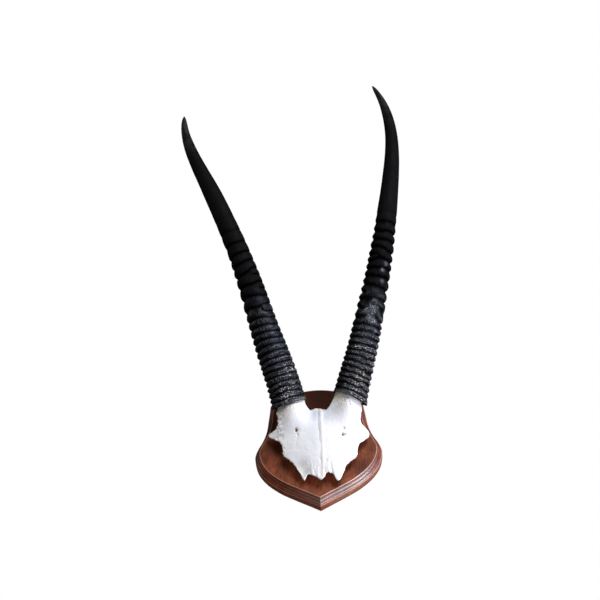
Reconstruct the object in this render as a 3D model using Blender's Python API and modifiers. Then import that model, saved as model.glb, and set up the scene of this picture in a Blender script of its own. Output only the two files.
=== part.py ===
"""A gemsbok skull plaque: two ringed horns on a bleached skull plate, screwed to a wooden shield.

Metres, +Z up. The board's back lies in the plane y = 0, against the wall, and the horns reach
forward towards -Y. The origin is on the board's back, on its centre line. Heights in the tables
below are measured up from the board's pointed bottom tip.
"""
import math
from dataclasses import dataclass

import bmesh
import bpy
import numpy as np
from mathutils import Matrix, Vector

# Where the board's bottom tip is, below the origin.
TIP_DROP = 0.114
# Space between pieces that touch.
GAP = 0.0003
# How far a cutter starts outside what it cuts, and the step that keeps two cutters' faces apart.
OUTSIDE = 0.002
CUTTER_STEP = 0.0002

# Board: thickness, the straight part of its edge, and its outline as (half width, height).
BOARD_DEPTH = 0.0235
EDGE_DEPTH = 0.012
BOARD_HEIGHT = 0.232
BOARD_SIDE = (
    (0.0000, 0.0000), (0.0180, 0.0105), (0.0360, 0.0207), (0.0600, 0.0355), (0.0800, 0.0530),
    (0.0930, 0.0715), (0.0985, 0.0880), (0.0997, 0.1020), (0.0955, 0.1160), (0.0872, 0.1335),
    (0.0815, 0.1520), (0.0785, 0.1750), (0.0765, 0.1920), (0.0755, 0.2040),
)
# Moulding steps from the straight edge to the front face, as (inwards, forwards).
MOULDING = (
    (0.0014, 0.0002), (0.0014, 0.0040), (0.0019, 0.0016), (0.0014, 0.0028), (0.0014, 0.0006),
    (0.0002, 0.0018), (0.0005, 0.0005),
)

# Keyhole slot in the board's back.
KEYHOLE_HEIGHT = 0.196
KEYHOLE_RADIUS = 0.005
KEYHOLE_SLOT_WIDTH = 0.005
KEYHOLE_RISE = 0.014
KEYHOLE_DEPTH = 0.0105
KEYHOLE_LIP = 0.004

# Countersunk screws from behind: their heights, the profile's sizes, and how deep the head is sunk.
SCREW_HEIGHTS = {"screw_lower": 0.098, "screw_upper": 0.148}
SCREW_HEAD_RADIUS = 0.0042
SCREW_SHANK_RADIUS = 0.0021
SCREW_LENGTH = 0.040
SCREW_RECESS = 0.0005
SCREW_RIM = 0.0006
SCREW_TIP = 0.005

# Skull: its middle beside the board's middle, bone thickness, and the depth of its front
# surface above the wall at the nose end, at the brow and at the horns.
SKULL_X = 0.0027
BONE = 0.0045
NOSE_DEPTH, NOSE_HEIGHT = 0.037, 0.028
BROW_DEPTH, BROW_HEIGHT = 0.058, 0.115
SIDE_FALL, SIDE_REACH = 0.0235, 0.078
HORN_RISE, HORN_RISE_WIDTH = 0.026, 0.026
HORN_RISE_START, HORN_RISE_END = 0.105, 0.160
# Outline of the bone seen from the front, as (from the skull's middle, height).
SKULL_OUTLINE = (
    (-0.0230, 0.1960), (-0.0190, 0.1680), (-0.0145, 0.1570), (-0.0095, 0.1510), (-0.0045, 0.1532),
    (0.0015, 0.1545), (0.0080, 0.1525), (0.0135, 0.1490), (0.0200, 0.1570), (0.0265, 0.1700),
    (0.0310, 0.1960), (0.0690, 0.1960), (0.0703, 0.1560), (0.0689, 0.1452), (0.0668, 0.1335),
    (0.0688, 0.1288), (0.0772, 0.1223), (0.0787, 0.1172), (0.0772, 0.1114), (0.0700, 0.1028),
    (0.0630, 0.0956), (0.0605, 0.0908), (0.0582, 0.0777), (0.0564, 0.0727), (0.0479, 0.0642),
    (0.0393, 0.0539), (0.0335, 0.0404), (0.0303, 0.0339), (0.0279, 0.0306), (0.0250, 0.0304),
    (0.0223, 0.0334), (0.0188, 0.0409), (0.0112, 0.0427), (0.0083, 0.0415), (0.0066, 0.0370),
    (0.0035, 0.0333), (0.0006, 0.0319), (-0.0058, 0.0354), (-0.0143, 0.0409), (-0.0202, 0.0418),
    (-0.0234, 0.0354), (-0.0252, 0.0332), (-0.0304, 0.0437), (-0.0374, 0.0565), (-0.0441, 0.0679),
    (-0.0445, 0.0662), (-0.0481, 0.0713), (-0.0540, 0.0770), (-0.0562, 0.0801), (-0.0571, 0.0923),
    (-0.0602, 0.1027), (-0.0679, 0.1111), (-0.0764, 0.1198), (-0.0791, 0.1255), (-0.0763, 0.1280),
    (-0.0682, 0.1296), (-0.0642, 0.1360), (-0.0640, 0.1450), (-0.0655, 0.1550), (-0.0620, 0.1960),
)
# Braincase behind the frontal bone, sawn flat against the board.
BRAINCASE_HEIGHT = 0.122
BRAINCASE_RADII = (0.049, 0.031, 0.055)
# Small holes through the brow, as (from the skull's middle, height, radius).
BROW_HOLES = ((-0.0348, 0.1155, 0.0021), (0.0374, 0.1048, 0.0018))
BROW_HOLE_DEPTH = 0.005
BROW_HOLE_AXIS = (0, 1, 0.2)
# Pedicles under the horns, each set a little towards the skull's middle, and their bony cores.
PEDICLE_LENGTH = 0.027
PEDICLE_LOW_RADIUS = 0.0165
PEDICLE_TOP_RADIUS = 0.0222
PEDICLE_SHIFT = 0.0035
CORE_RADIUS = 0.0175
CORE_TOP_RADIUS = 0.0155
CORE_LENGTH = 0.014

# Horns: sides of the round section, and how far they lean out of the board's plane (degrees).
HORN_SIDES = 16
BASE_LEAN, TIP_LEAN = 30, 14
TIP_RADIUS = 0.0008
SMOOTH_STATIONS = 15
# How far the tube runs below the rim before it is cut, as a share of its radius.
BELOW_RIM = 0.6


@dataclass
class Horn:
    """One horn: side is -1 at the viewer's left; tables go by share of the length.

    Ring counts say how many rings lie below a share, and end where the smooth part begins.
    """

    name: str
    side: int
    base: tuple
    length: float
    splay: tuple
    diameter: tuple
    ring_counts: tuple
    ring_relief: tuple
    forward_rim_tilt: float
    side_rim_tilt: float


HORNS = (
    Horn("horn_left", -1, (-0.0424, -0.0555, 0.1693), 0.573,
         ((0, 13), (0.06, 16), (0.12, 19), (0.18, 18), (0.25, 16.6), (0.34, 16), (0.44, 19), (0.54, 21.3),
          (0.64, 22.5), (0.76, 24.6), (0.84, 21.5), (0.90, 15.3), (0.95, 7), (1, -1)),
         ((0, 0.0585), (0.14, 0.0544), (0.24, 0.0487), (0.34, 0.0445), (0.42, 0.0406), (0.51, 0.0369),
          (0.60, 0.0337), (0.69, 0.0310), (0.78, 0.0260), (0.87, 0.0206), (0.92, 0.0162),
          (0.96, 0.0124), (0.985, 0.0082), (1, 0.0016)),
         ((0, 0), (0.053, 3.5), (0.139, 8.5), (0.220, 12.5), (0.270, 14.5), (0.380, 17.5),
          (0.476, 20.5), (0.563, 22.5), (0.640, 24)),
         ((0, 0.0016), (0.05, 0.0027), (0.38, 0.0030), (0.46, 0.0014), (0.64, 0.0005)), 10, 4),
    Horn("horn_right", 1, (0.0549, -0.0552, 0.1737), 0.601,
         ((0, 16.5), (0.06, 20.5), (0.12, 20), (0.20, 16.5), (0.30, 16.5), (0.42, 13.5), (0.52, 11.5),
          (0.61, 10), (0.70, 8), (0.78, 2.5), (0.85, -5.5), (0.91, -13), (0.96, -22), (1, -26)),
         ((0, 0.0580), (0.11, 0.0534), (0.20, 0.0501), (0.30, 0.0455), (0.37, 0.0424), (0.45, 0.0398),
          (0.52, 0.0357), (0.61, 0.0311), (0.69, 0.0276), (0.78, 0.0232), (0.87, 0.0185),
          (0.91, 0.0155), (0.96, 0.0104), (0.985, 0.0070), (1, 0.0016)),
         ((0, 0), (0.055, 3.5), (0.134, 8.5), (0.209, 12.5), (0.262, 14.5), (0.327, 16.5),
          (0.408, 19.5), (0.492, 22.5), (0.570, 25)),
         ((0, 0.0016), (0.06, 0.0028), (0.30, 0.0038), (0.42, 0.0032), (0.50, 0.0020), (0.57, 0.0006)),
         4, 14),
)

COLOURS = {
    "varnished_wood": ((0.20, 0.065, 0.030), 0.35, 0.0),
    "bleached_bone": ((0.82, 0.80, 0.75), 0.6, 0.0),
    "horn_sheath": ((0.030, 0.030, 0.034), 0.45, 0.0),
    "screw_steel": ((0.55, 0.52, 0.45), 0.35, 1.0),
}


def clear_scene():
    """Remove every object, so that the script starts from nothing."""
    for thing in list(bpy.data.objects):
        bpy.data.objects.remove(thing, do_unlink=True)


def new_collection(name):
    """Make a collection and link it to the scene."""
    collection = bpy.data.collections.new(name)
    bpy.context.scene.collection.children.link(collection)
    return collection


def new_material(name):
    """Make the Principled material of one of the object's finishes."""
    colour, roughness, metallic = COLOURS[name]
    material = bpy.data.materials.new(name)
    material.use_nodes = True
    shader = material.node_tree.nodes["Principled BSDF"]
    shader.inputs["Base Color"].default_value = (*colour, 1.0)
    shader.inputs["Roughness"].default_value = roughness
    shader.inputs["Metallic"].default_value = metallic
    return material


def add_object(name, mesh, collection, material=None):
    """Put a mesh or a curve into the scene as an object."""
    thing = bpy.data.objects.new(name, mesh)
    collection.objects.link(thing)
    if material:
        mesh.materials.append(material)
    return thing


def add_bmesh(name, bm, collection, material=None):
    """Turn a bmesh into an object, with its faces pointing out."""
    bmesh.ops.recalc_face_normals(bm, faces=bm.faces)
    mesh = bpy.data.meshes.new(name)
    bm.to_mesh(mesh)
    bm.free()
    return add_object(name, mesh, collection, material)


def combine(target, operation, tool):
    """Add a Boolean to target, and keep the tool out of the render."""
    modifier = target.modifiers.new(f"{operation.lower()} {tool.name}", "BOOLEAN")
    modifier.operation = operation
    modifier.solver = "EXACT"
    modifier.object = tool
    tool.hide_render = True
    tool.display_type = "WIRE"


def shade(thing, degrees):
    """Smooth shading with edges sharper than an angle kept sharp."""
    thing.data.shade_smooth()
    thing.data.set_sharp_from_angle(angle=math.radians(degrees))


def mesh_from_curve(curve_object, name, collection, material=None):
    """Replace a curve object by its mesh, with the caps welded on."""
    bpy.context.view_layer.update()
    evaluated = curve_object.evaluated_get(bpy.context.evaluated_depsgraph_get())
    mesh = bpy.data.meshes.new_from_object(evaluated)
    bm = bmesh.new()
    bm.from_mesh(mesh)
    bmesh.ops.remove_doubles(bm, verts=bm.verts, dist=1e-6)
    bmesh.ops.recalc_face_normals(bm, faces=bm.faces)
    bm.to_mesh(mesh)
    bm.free()
    mesh.materials.clear()
    result = add_object(name, mesh, collection, material)
    result.matrix_world = curve_object.matrix_world
    bpy.data.objects.remove(curve_object, do_unlink=True)
    return result


def rounded_through(points, steps):
    """A smooth line through the points: a Catmull-Rom spline with this many steps a stretch."""
    points = np.array(points, dtype=float)
    padded = np.vstack([2 * points[0] - points[1], points, 2 * points[-1] - points[-2]])
    line = []
    for before, start, end, after in zip(padded, padded[1:], padded[2:], padded[3:]):
        for share in np.arange(steps) / steps:
            line.append(0.5 * (2 * start + (end - before) * share
                               + (2 * before - 5 * start + 4 * end - after) * share**2
                               + (3 * start - before - 3 * end + after) * share**3))
    line.append(points[-1])
    return np.array(line)


def table(pairs, share):
    """Read a (share, value) table at one share or at an array of them."""
    shares, values = zip(*pairs)
    return np.interp(share, shares, values)


def ease(value, low, high):
    """Rise smoothly from 0 at low to 1 at high."""
    share = np.clip((value - low) / (high - low), 0.0, 1.0)
    return share * share * (3 - 2 * share)


def board_outline():
    """The shield's outline in the wall's plane, from the tip round by the right side."""
    side = rounded_through(BOARD_SIDE, 2)
    corner_x, corner_height = BOARD_SIDE[-1]
    rise = BOARD_HEIGHT - corner_height
    radius = (corner_x**2 + rise**2) / (2 * rise)
    half_angle = math.asin(corner_x / radius)
    angles = np.linspace(half_angle, 0, 7)[1:]
    arch = np.column_stack([radius * np.sin(angles), BOARD_HEIGHT - radius * (1 - np.cos(angles))])
    right = np.vstack([side, arch])
    left = right[-2:0:-1] * (-1, 1)
    return np.vstack([right, left]) - (0, TIP_DROP)


def make_board(collection, tools, material):
    """The shield: a flat outline raised to its edge depth, then inset step by step."""
    bm = bmesh.new()
    face = bm.faces.new([bm.verts.new((x, 0, z)) for x, z in board_outline()])
    bmesh.ops.recalc_face_normals(bm, faces=[face])
    raised = bmesh.ops.extrude_face_region(bm, geom=[face], use_keep_orig=True)
    front = [part for part in raised["geom"] if isinstance(part, bmesh.types.BMFace)][0]
    bmesh.ops.translate(bm, verts=front.verts, vec=(0, -EDGE_DEPTH, 0))
    bmesh.ops.recalc_face_normals(bm, faces=bm.faces)
    for inwards, forwards in MOULDING:
        bmesh.ops.inset_region(bm, faces=[front], thickness=inwards, depth=forwards, use_even_offset=True)
    board = add_bmesh("shield_board", bm, collection, material)
    for cutter in keyhole_cutters(tools):
        combine(board, "DIFFERENCE", cutter)
    for name, height in SCREW_HEIGHTS.items():
        combine(board, "DIFFERENCE", make_screw(f"{name}_hole", height, tools, GAP))
    shade(board, 30)
    return board


def box_tool(name, low, high, collection):
    """A plain box between two corners."""
    bm = bmesh.new()
    bmesh.ops.create_cube(bm, size=1)
    size = Vector(high) - Vector(low)
    middle = (Vector(high) + Vector(low)) / 2
    bmesh.ops.transform(bm, matrix=Matrix.Translation(middle) @ Matrix.Diagonal((*size, 1)), verts=bm.verts)
    return add_bmesh(name, bm, collection)


def round_tool(name, start, axis, length, start_radius, end_radius, collection, segments=24):
    """A cylinder or cone from a point along an axis."""
    axis = Vector(axis).normalized()
    turn = Vector((0, 0, 1)).rotation_difference(axis).to_matrix().to_4x4()
    middle = Matrix.Translation(Vector(start) + axis * length / 2)
    bm = bmesh.new()
    bmesh.ops.create_cone(bm, cap_ends=True, segments=segments, radius1=start_radius, radius2=end_radius,
                          depth=length, matrix=middle @ turn)
    return add_bmesh(name, bm, collection)


def keyhole_cutters(tools):
    """The keyhole slot: a round entry, a narrow throat above it and a wider slot inside."""
    low = KEYHOLE_HEIGHT - TIP_DROP
    high = low + KEYHOLE_RISE
    half = KEYHOLE_SLOT_WIDTH / 2
    wide = KEYHOLE_RADIUS - CUTTER_STEP
    end_radius = wide - CUTTER_STEP
    floor = KEYHOLE_DEPTH - 2 * CUTTER_STEP
    entry = round_tool("keyhole_entry", (0, OUTSIDE, low), (0, -1, 0), KEYHOLE_DEPTH + OUTSIDE,
                       KEYHOLE_RADIUS, KEYHOLE_RADIUS, tools, 20)
    throat = box_tool("keyhole_throat", (-half, CUTTER_STEP - floor, low), (half, OUTSIDE, high), tools)
    slot = box_tool("keyhole_slot", (-wide, -floor, low), (wide, -KEYHOLE_LIP, high), tools)
    end = round_tool("keyhole_end", (0, -KEYHOLE_LIP - CUTTER_STEP, high), (0, -1, 0),
                     floor - KEYHOLE_LIP - 2 * CUTTER_STEP, end_radius, end_radius, tools, 20)
    return entry, throat, slot, end


def make_screw(name, height, collection, clearance=0.0, material=None):
    """A countersunk screw turned about its axis; with a clearance it is the hole for one."""
    head = SCREW_HEAD_RADIUS + clearance
    shank = SCREW_SHANK_RADIUS + clearance
    back = -OUTSIDE if clearance else SCREW_RECESS
    tip = SCREW_LENGTH + clearance
    countersink = SCREW_RECESS + SCREW_RIM
    profile = (
        (0, back), (head, back), (head, countersink), (shank, countersink + head - shank),
        (shank, tip - SCREW_TIP), (0, tip),
    )
    mesh = bpy.data.meshes.new(name)
    mesh.from_pydata([(radius, 0, -depth) for radius, depth in profile],
                     [(index, index + 1) for index in range(len(profile) - 1)], [])
    screw = add_object(name, mesh, collection, material)
    screw.location = (SKULL_X, 0, height - TIP_DROP)
    screw.rotation_euler = (math.radians(-90), 0, 0)
    turn = screw.modifiers.new("turn", "SCREW")
    turn.steps = 16
    turn.render_steps = 16
    turn.use_merge_vertices = True
    turn.merge_threshold = 1e-5
    turn.use_normal_calculate = True
    return screw


def horn_directions(horn, share):
    """Unit directions of a horn's axis: splay turns it sideways, lean turns it out of the board."""
    splay = np.radians(table(horn.splay, share)) * horn.side
    lean = np.radians(BASE_LEAN + (TIP_LEAN - BASE_LEAN) * np.asarray(share))
    return np.stack([np.sin(splay) * np.cos(lean), -np.sin(lean), np.cos(splay) * np.cos(lean)], axis=-1)


def horn_axis(horn, shares):
    """Points on a horn's axis: its directions added up along its length from the base."""
    fine = np.linspace(0, 1, 801)
    middles = (fine[1:] + fine[:-1]) / 2
    steps = horn_directions(horn, middles) * horn.length * (fine[1] - fine[0])
    walked = np.vstack([np.zeros(3), np.cumsum(steps, axis=0)])
    path = np.stack([np.interp(shares, fine, walked[:, axis]) for axis in range(3)], axis=-1)
    return path + horn.base - np.array((0, 0, TIP_DROP))


def ring_share(horn, phase):
    """Share of the length at a ring count, from the horn's own counts read the other way round."""
    shares, counts = zip(*horn.ring_counts)
    return np.interp(phase, counts, shares)


def horn_stations(horn):
    """Shares of the length with the radius there: a valley, a shoulder and a crest for each ring."""
    ringed_share, rings = horn.ring_counts[-1]
    stations = []
    for ring in range(rings):
        for phase, sunk in ((0, 1), (0.36, 0.12), (0.64, 0)):
            share = ring_share(horn, ring + phase)
            relief = table(horn.ring_relief, share)
            stations.append((share, table(horn.diameter, share) / 2 - relief * sunk))
    for share in (*np.linspace(ringed_share, 0.97, SMOOTH_STATIONS - 2), 0.985, 1):
        stations.append((share, max(table(horn.diameter, share) / 2, TIP_RADIUS)))
    return stations


def rim_normal(horn):
    """Direction out of the horn's base: its axis, tilted so that the rim drops in front and outside."""
    axis = Vector(horn_directions(horn, 0.0))
    forwards = Matrix.Rotation(math.radians(horn.forward_rim_tilt), 3, "X")
    sideways = Matrix.Rotation(math.radians(horn.side_rim_tilt * horn.side), 3, "Y")
    return (sideways @ forwards @ axis).normalized()


def rim_centre(horn):
    """Centre of the horn's base."""
    return Vector(horn.base) - Vector((0, 0, TIP_DROP))


def make_horn(horn, collection, tools, material):
    """A ringed horn: a tube of changing radius, cut at its slanted rim, with a socket for the core."""
    stations = horn_stations(horn)
    shares = np.array([share for share, radius in stations])
    radii = np.array([radius for share, radius in stations])
    points = horn_axis(horn, shares)
    below = points[0] - horn_directions(horn, 0.0) * radii[0] * BELOW_RIM
    points = np.vstack([below, points])
    radii = np.append(radii[0], radii)

    curve = bpy.data.curves.new(horn.name, "CURVE")
    curve.dimensions = "3D"
    curve.bevel_depth = horn.diameter[0][1] / 2
    curve.bevel_resolution = HORN_SIDES // 2 - 2
    curve.use_fill_caps = True
    spline = curve.splines.new("POLY")
    spline.points.add(len(points) - 1)
    for place, point, radius in zip(spline.points, points, radii):
        place.co = (*point, 1)
        place.radius = radius / curve.bevel_depth
    tube = mesh_from_curve(add_object(f"{horn.name}_axis", curve, tools), horn.name, collection, material)

    bm = bmesh.new()
    bm.from_mesh(tube.data)
    everything = bm.verts[:] + bm.edges[:] + bm.faces[:]
    cut = bmesh.ops.bisect_plane(bm, geom=everything, plane_co=rim_centre(horn), plane_no=rim_normal(horn),
                                 clear_inner=True)
    rim = [part for part in cut["geom_cut"] if isinstance(part, bmesh.types.BMEdge)]
    bmesh.ops.edgeloop_fill(bm, edges=rim)
    bmesh.ops.recalc_face_normals(bm, faces=bm.faces)
    bm.to_mesh(tube.data)
    bm.free()

    socket = core_tool(horn, f"{horn.name}_socket", tools, GAP)
    combine(tube, "DIFFERENCE", socket)
    shade(tube, 40)
    return tube


def core_tool(horn, name, collection, clearance=0.0):
    """The bony core in a horn's base; with a clearance it is the socket for it."""
    normal = rim_normal(horn)
    below = 0.006
    spread = (CORE_RADIUS - CORE_TOP_RADIUS) / CORE_LENGTH * below
    return round_tool(name, rim_centre(horn) - normal * below, normal, CORE_LENGTH + below + clearance,
                      CORE_RADIUS + spread + clearance, CORE_TOP_RADIUS + clearance, collection, 20)


def front_depth(x, height):
    """Depth of the bone's front above the wall: nose to brow slope, side fall, rise to the horns."""
    depth = NOSE_DEPTH + (BROW_DEPTH - NOSE_DEPTH) * ease(height, NOSE_HEIGHT - 0.02, BROW_HEIGHT)
    depth = depth - SIDE_FALL * (x / SIDE_REACH) ** 2
    for horn in HORNS:
        middle = horn.base[0] - SKULL_X
        rise = HORN_RISE * ease(height, HORN_RISE_START, HORN_RISE_END)
        depth = depth + rise * np.exp(-(((x - middle) / HORN_RISE_WIDTH) ** 2))
    return depth


def make_frontal_bone(collection, tools, material):
    """The curved plate of bone: a grid bent to the front surface, thickened and cut to its outline."""
    width, low, high = 0.176, 0.018, 0.206
    bm = bmesh.new()
    bmesh.ops.create_grid(bm, x_segments=17, y_segments=18, size=0.5)
    places = np.array([vert.co for vert in bm.verts])
    across = places[:, 0] * width
    height = (places[:, 1] + 0.5) * (high - low) + low
    depth = front_depth(across, height)
    for vert, x, y, z in zip(bm.verts, across + SKULL_X, -depth, height - TIP_DROP):
        vert.co = (x, y, z)
    bone = add_bmesh("skull_plate", bm, collection, material)
    if bone.data.polygons[0].normal.y > 0:
        bone.data.flip_normals()
    wall = bone.modifiers.new("bone", "SOLIDIFY")
    wall.thickness = BONE
    wall.offset = -1
    combine(bone, "INTERSECT", outline_tool(tools))
    return bone


def outline_tool(tools):
    """A block with the bone's outline, from in front of the horns' rise back to the board."""
    front, back = -0.111, -0.021
    curve = bpy.data.curves.new("bone_outline", "CURVE")
    curve.dimensions = "2D"
    curve.fill_mode = "BOTH"
    curve.extrude = (back - front) / 2
    spline = curve.splines.new("POLY")
    spline.points.add(len(SKULL_OUTLINE) - 1)
    spline.use_cyclic_u = True
    for place, (x, height) in zip(spline.points, SKULL_OUTLINE):
        place.co = (x, height, 0, 1)
    outline = add_object("bone_outline_curve", curve, tools)
    outline.location = (SKULL_X, (front + back) / 2, -TIP_DROP)
    outline.rotation_euler = (math.radians(90), 0, 0)
    return mesh_from_curve(outline, "bone_outline", tools)


def make_braincase(tools):
    """The braincase: half an egg behind the frontal bone, flat where it was sawn."""
    bm = bmesh.new()
    bmesh.ops.create_uvsphere(bm, u_segments=20, v_segments=10, radius=1)
    bmesh.ops.transform(bm, matrix=Matrix.Diagonal((*BRAINCASE_RADII, 1)), verts=bm.verts)
    everything = bm.verts[:] + bm.edges[:] + bm.faces[:]
    cut = bmesh.ops.bisect_plane(bm, geom=everything, plane_co=(0, 0, 0), plane_no=(0, 1, 0),
                                 clear_outer=True)
    rim = [part for part in cut["geom_cut"] if isinstance(part, bmesh.types.BMEdge)]
    bmesh.ops.edgeloop_fill(bm, edges=rim)
    sawn = Vector((SKULL_X, -BOARD_DEPTH - GAP, BRAINCASE_HEIGHT - TIP_DROP))
    bmesh.ops.translate(bm, verts=bm.verts, vec=sawn)
    return add_bmesh("braincase", bm, tools)


def make_skull(collection, tools, material):
    """The skull plate: frontal bone, braincase, pedicles and bony cores joined in one solid."""
    skull = make_frontal_bone(collection, tools, material)
    clear_radius, clear_length = 0.037, 0.09
    for horn in HORNS:
        normal = rim_normal(horn)
        above = round_tool(f"{horn.name}_clearance", rim_centre(horn) - normal * GAP, normal,
                           clear_length, clear_radius, clear_radius, tools)
        combine(skull, "DIFFERENCE", above)
    combine(skull, "UNION", make_braincase(tools))
    for horn in HORNS:
        normal = rim_normal(horn)
        shift = Vector((-horn.side * PEDICLE_SHIFT, 0, 0))
        foot = rim_centre(horn) + shift - normal * (PEDICLE_LENGTH + GAP + shift.dot(normal))
        pedicle = round_tool(f"{horn.name}_pedicle", foot, normal, PEDICLE_LENGTH, PEDICLE_LOW_RADIUS,
                             PEDICLE_TOP_RADIUS, tools)
        combine(skull, "UNION", pedicle)
        combine(skull, "UNION", core_tool(horn, f"{horn.name}_core", tools))
    for index, (x, height, radius) in enumerate(BROW_HOLES):
        front = (SKULL_X + x, -front_depth(x, height) - OUTSIDE, height - TIP_DROP)
        hole = round_tool(f"brow_hole_{index}", front, BROW_HOLE_AXIS, BROW_HOLE_DEPTH + OUTSIDE,
                          radius, radius, tools, 8)
        combine(skull, "DIFFERENCE", hole)
    for name, height in SCREW_HEIGHTS.items():
        combine(skull, "DIFFERENCE", make_screw(f"{name}_pilot", height, tools, GAP))
    shade(skull, 50)
    return skull


def main():
    """Build every piece of the plaque."""
    clear_scene()
    plaque = new_collection("gemsbok_skull_plaque")
    tools = new_collection("cutters")
    wood = new_material("varnished_wood")
    bone = new_material("bleached_bone")
    keratin = new_material("horn_sheath")
    steel = new_material("screw_steel")
    make_board(plaque, tools, wood)
    make_skull(plaque, tools, bone)
    for horn in HORNS:
        make_horn(horn, plaque, tools, keratin)
    for name, height in SCREW_HEIGHTS.items():
        shade(make_screw(name, height, plaque, material=steel), 30)


main()
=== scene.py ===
"""The looks of a gemsbok skull plaque: ringed horns on a bleached skull plate and a wooden shield.

Metres, +Z up. The shield's back lies in the plane y = 0 and the plaque faces -Y. Heights in the
tables are measured up from the shield's pointed bottom tip, and the skull's across values from
the skull's own middle.
"""

import logging
import math
from collections.abc import Callable
from dataclasses import dataclass
from enum import Enum
from functools import partial, reduce

import bpy
import numpy as np
from mathutils import Matrix, Vector


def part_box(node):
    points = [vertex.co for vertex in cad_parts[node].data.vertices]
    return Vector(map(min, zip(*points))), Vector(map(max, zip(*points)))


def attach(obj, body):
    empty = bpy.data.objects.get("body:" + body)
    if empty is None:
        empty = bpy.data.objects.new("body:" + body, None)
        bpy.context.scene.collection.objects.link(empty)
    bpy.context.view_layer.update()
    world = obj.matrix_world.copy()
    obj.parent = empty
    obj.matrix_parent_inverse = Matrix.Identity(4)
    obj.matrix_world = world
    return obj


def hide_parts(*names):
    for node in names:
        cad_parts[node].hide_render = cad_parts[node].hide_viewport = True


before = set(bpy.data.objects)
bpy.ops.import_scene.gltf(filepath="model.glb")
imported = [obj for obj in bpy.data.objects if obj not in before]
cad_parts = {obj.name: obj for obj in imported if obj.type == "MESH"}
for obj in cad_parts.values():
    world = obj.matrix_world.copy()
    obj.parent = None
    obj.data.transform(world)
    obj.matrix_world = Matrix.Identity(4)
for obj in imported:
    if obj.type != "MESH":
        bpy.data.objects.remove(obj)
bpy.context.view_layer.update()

LOG = logging.getLogger("plaque")
BODY = "root"

Array = np.ndarray
Pairs = tuple[tuple[float, float], ...]
Triples = tuple[tuple[float, float, float], ...]
Place = tuple[float, float, float]
Colour = tuple[float, float, float]

BOARD_LOW, BOARD_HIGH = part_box("shield_board")
TIP_DROP = -BOARD_LOW.z
BOARD_DEPTH = -BOARD_LOW.y
GAP = 0.0003


class Slot(Enum):
    """The record's material slots."""

    SHIELD = "shield"
    BONE = "bone"
    HORN = "horn"
    SCREWS = "screws"


class Side(Enum):
    """Which horn of the pair, as the viewer sees it."""

    LEFT = -1
    RIGHT = 1


def ease(value: Array, low: float, high: float) -> Array:
    """Rise smoothly from 0 at low to 1 at high."""
    share = np.clip((value - low) / (high - low), 0.0, 1.0)
    return share * share * (3 - 2 * share)


def bell(distance: Array, width: float | Array) -> Array:
    """A bell curve: 1 at distance 0, fading to nothing at about twice the width."""
    return np.exp(-((distance / width) ** 2))


def rounded_through(points: Array, steps: int, closed: bool = False) -> Array:
    """Draw a Catmull-Rom spline through points.

    Args:
        points: The points, one a row.
        steps: Steps on each stretch between two points.
        closed: Whether the last point leads back to the first.

    Returns:
        The spline's points. A closed line doesn't repeat its first point.
    """
    points = np.asarray(points, dtype=float)
    if closed:
        padded = np.vstack([points[-1], points, points[:2]])
    else:
        padded = np.vstack([2 * points[0] - points[1], points, 2 * points[-1] - points[-2]])
    before, start, end, after = (padded[offset:len(padded) - 3 + offset, None] for offset in range(4))
    share = (np.arange(steps) / steps)[None, :, None]
    line = 0.5 * (2 * start + (end - before) * share
                  + (2 * before - 5 * start + 4 * end - after) * share**2
                  + (3 * start - before - 3 * end + after) * share**3)
    line = line.reshape(-1, points.shape[1])
    return line if closed else np.vstack([line, points[-1]])


def read_table(pairs: Pairs, share: float | Array) -> Array:
    """Read a (share, value) table, straight between its points."""
    shares, values = zip(*pairs)
    return np.interp(share, shares, values)


def read_smooth(pairs: Pairs, share: float | Array) -> Array:
    """Read a (share, value) table along a spline through its points."""
    fine = rounded_through(np.array(pairs), 12)
    return np.interp(share, fine[:, 0], fine[:, 1])


def tenths(*pairs: tuple[int, int]) -> Pairs:
    """Turn pairs of tenths of a millimetre into metres."""
    return tuple((first / 10000, second / 10000) for first, second in pairs)


def unit(vectors: Array) -> Array:
    """Scale vectors to length 1."""
    return vectors / np.linalg.norm(vectors, axis=-1, keepdims=True)


def distance_to_path(places: Array, path: Pairs) -> tuple[Array, Array]:
    """Measure how far places are from a bent line.

    Args:
        places: Flat places, one a row.
        path: The line's points.

    Returns:
        The distance of each place from the line, and how far along it the nearest point is, from 0 to 1.
    """
    points = np.array(path)
    lengths = np.linalg.norm(np.diff(points, axis=0), axis=1)
    walked = np.append(0, np.cumsum(lengths))
    distance = np.full(len(places), np.inf)
    along = np.zeros(len(places))
    for start, end, length, before in zip(points, points[1:], lengths, walked):
        share = np.clip((places - start) @ (end - start) / length**2, 0, 1)
        here = np.linalg.norm(places - start - share[:, None] * (end - start), axis=1)
        nearer = here < distance
        distance = np.where(nearer, here, distance)
        along = np.where(nearer, (before + share * length) / walked[-1], along)
    return distance, along


class SoftNoise:
    """Smooth seeded noise: a wrapped lattice of random values, read with an eased blend."""

    SIZE = 32

    def __init__(self, seed: int) -> None:
        """Fill the lattice with values from -1 to 1."""
        self.lattice = np.random.default_rng(seed).uniform(-1, 1, (self.SIZE,) * 3)

    def __call__(self, points: Array) -> Array:
        """Read the noise at points, whose unit is one lattice step."""
        low = np.floor(points).astype(int)
        share = points - low
        share = share * share * (3 - 2 * share)
        total = np.zeros(points.shape[:-1])
        for corner in np.ndindex(2, 2, 2):
            x, y, z = np.moveaxis((low + corner) % self.SIZE, -1, 0)
            weight = np.prod(np.where(np.array(corner, bool), share, 1 - share), axis=-1)
            total += weight * self.lattice[x, y, z]
        return total

    def layered(self, points: Array, layers: int) -> Array:
        """Sum ever finer and weaker layers of the noise."""
        return sum(self(points * 2**layer + 7.3 * layer) * 0.5**layer for layer in range(layers))


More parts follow.
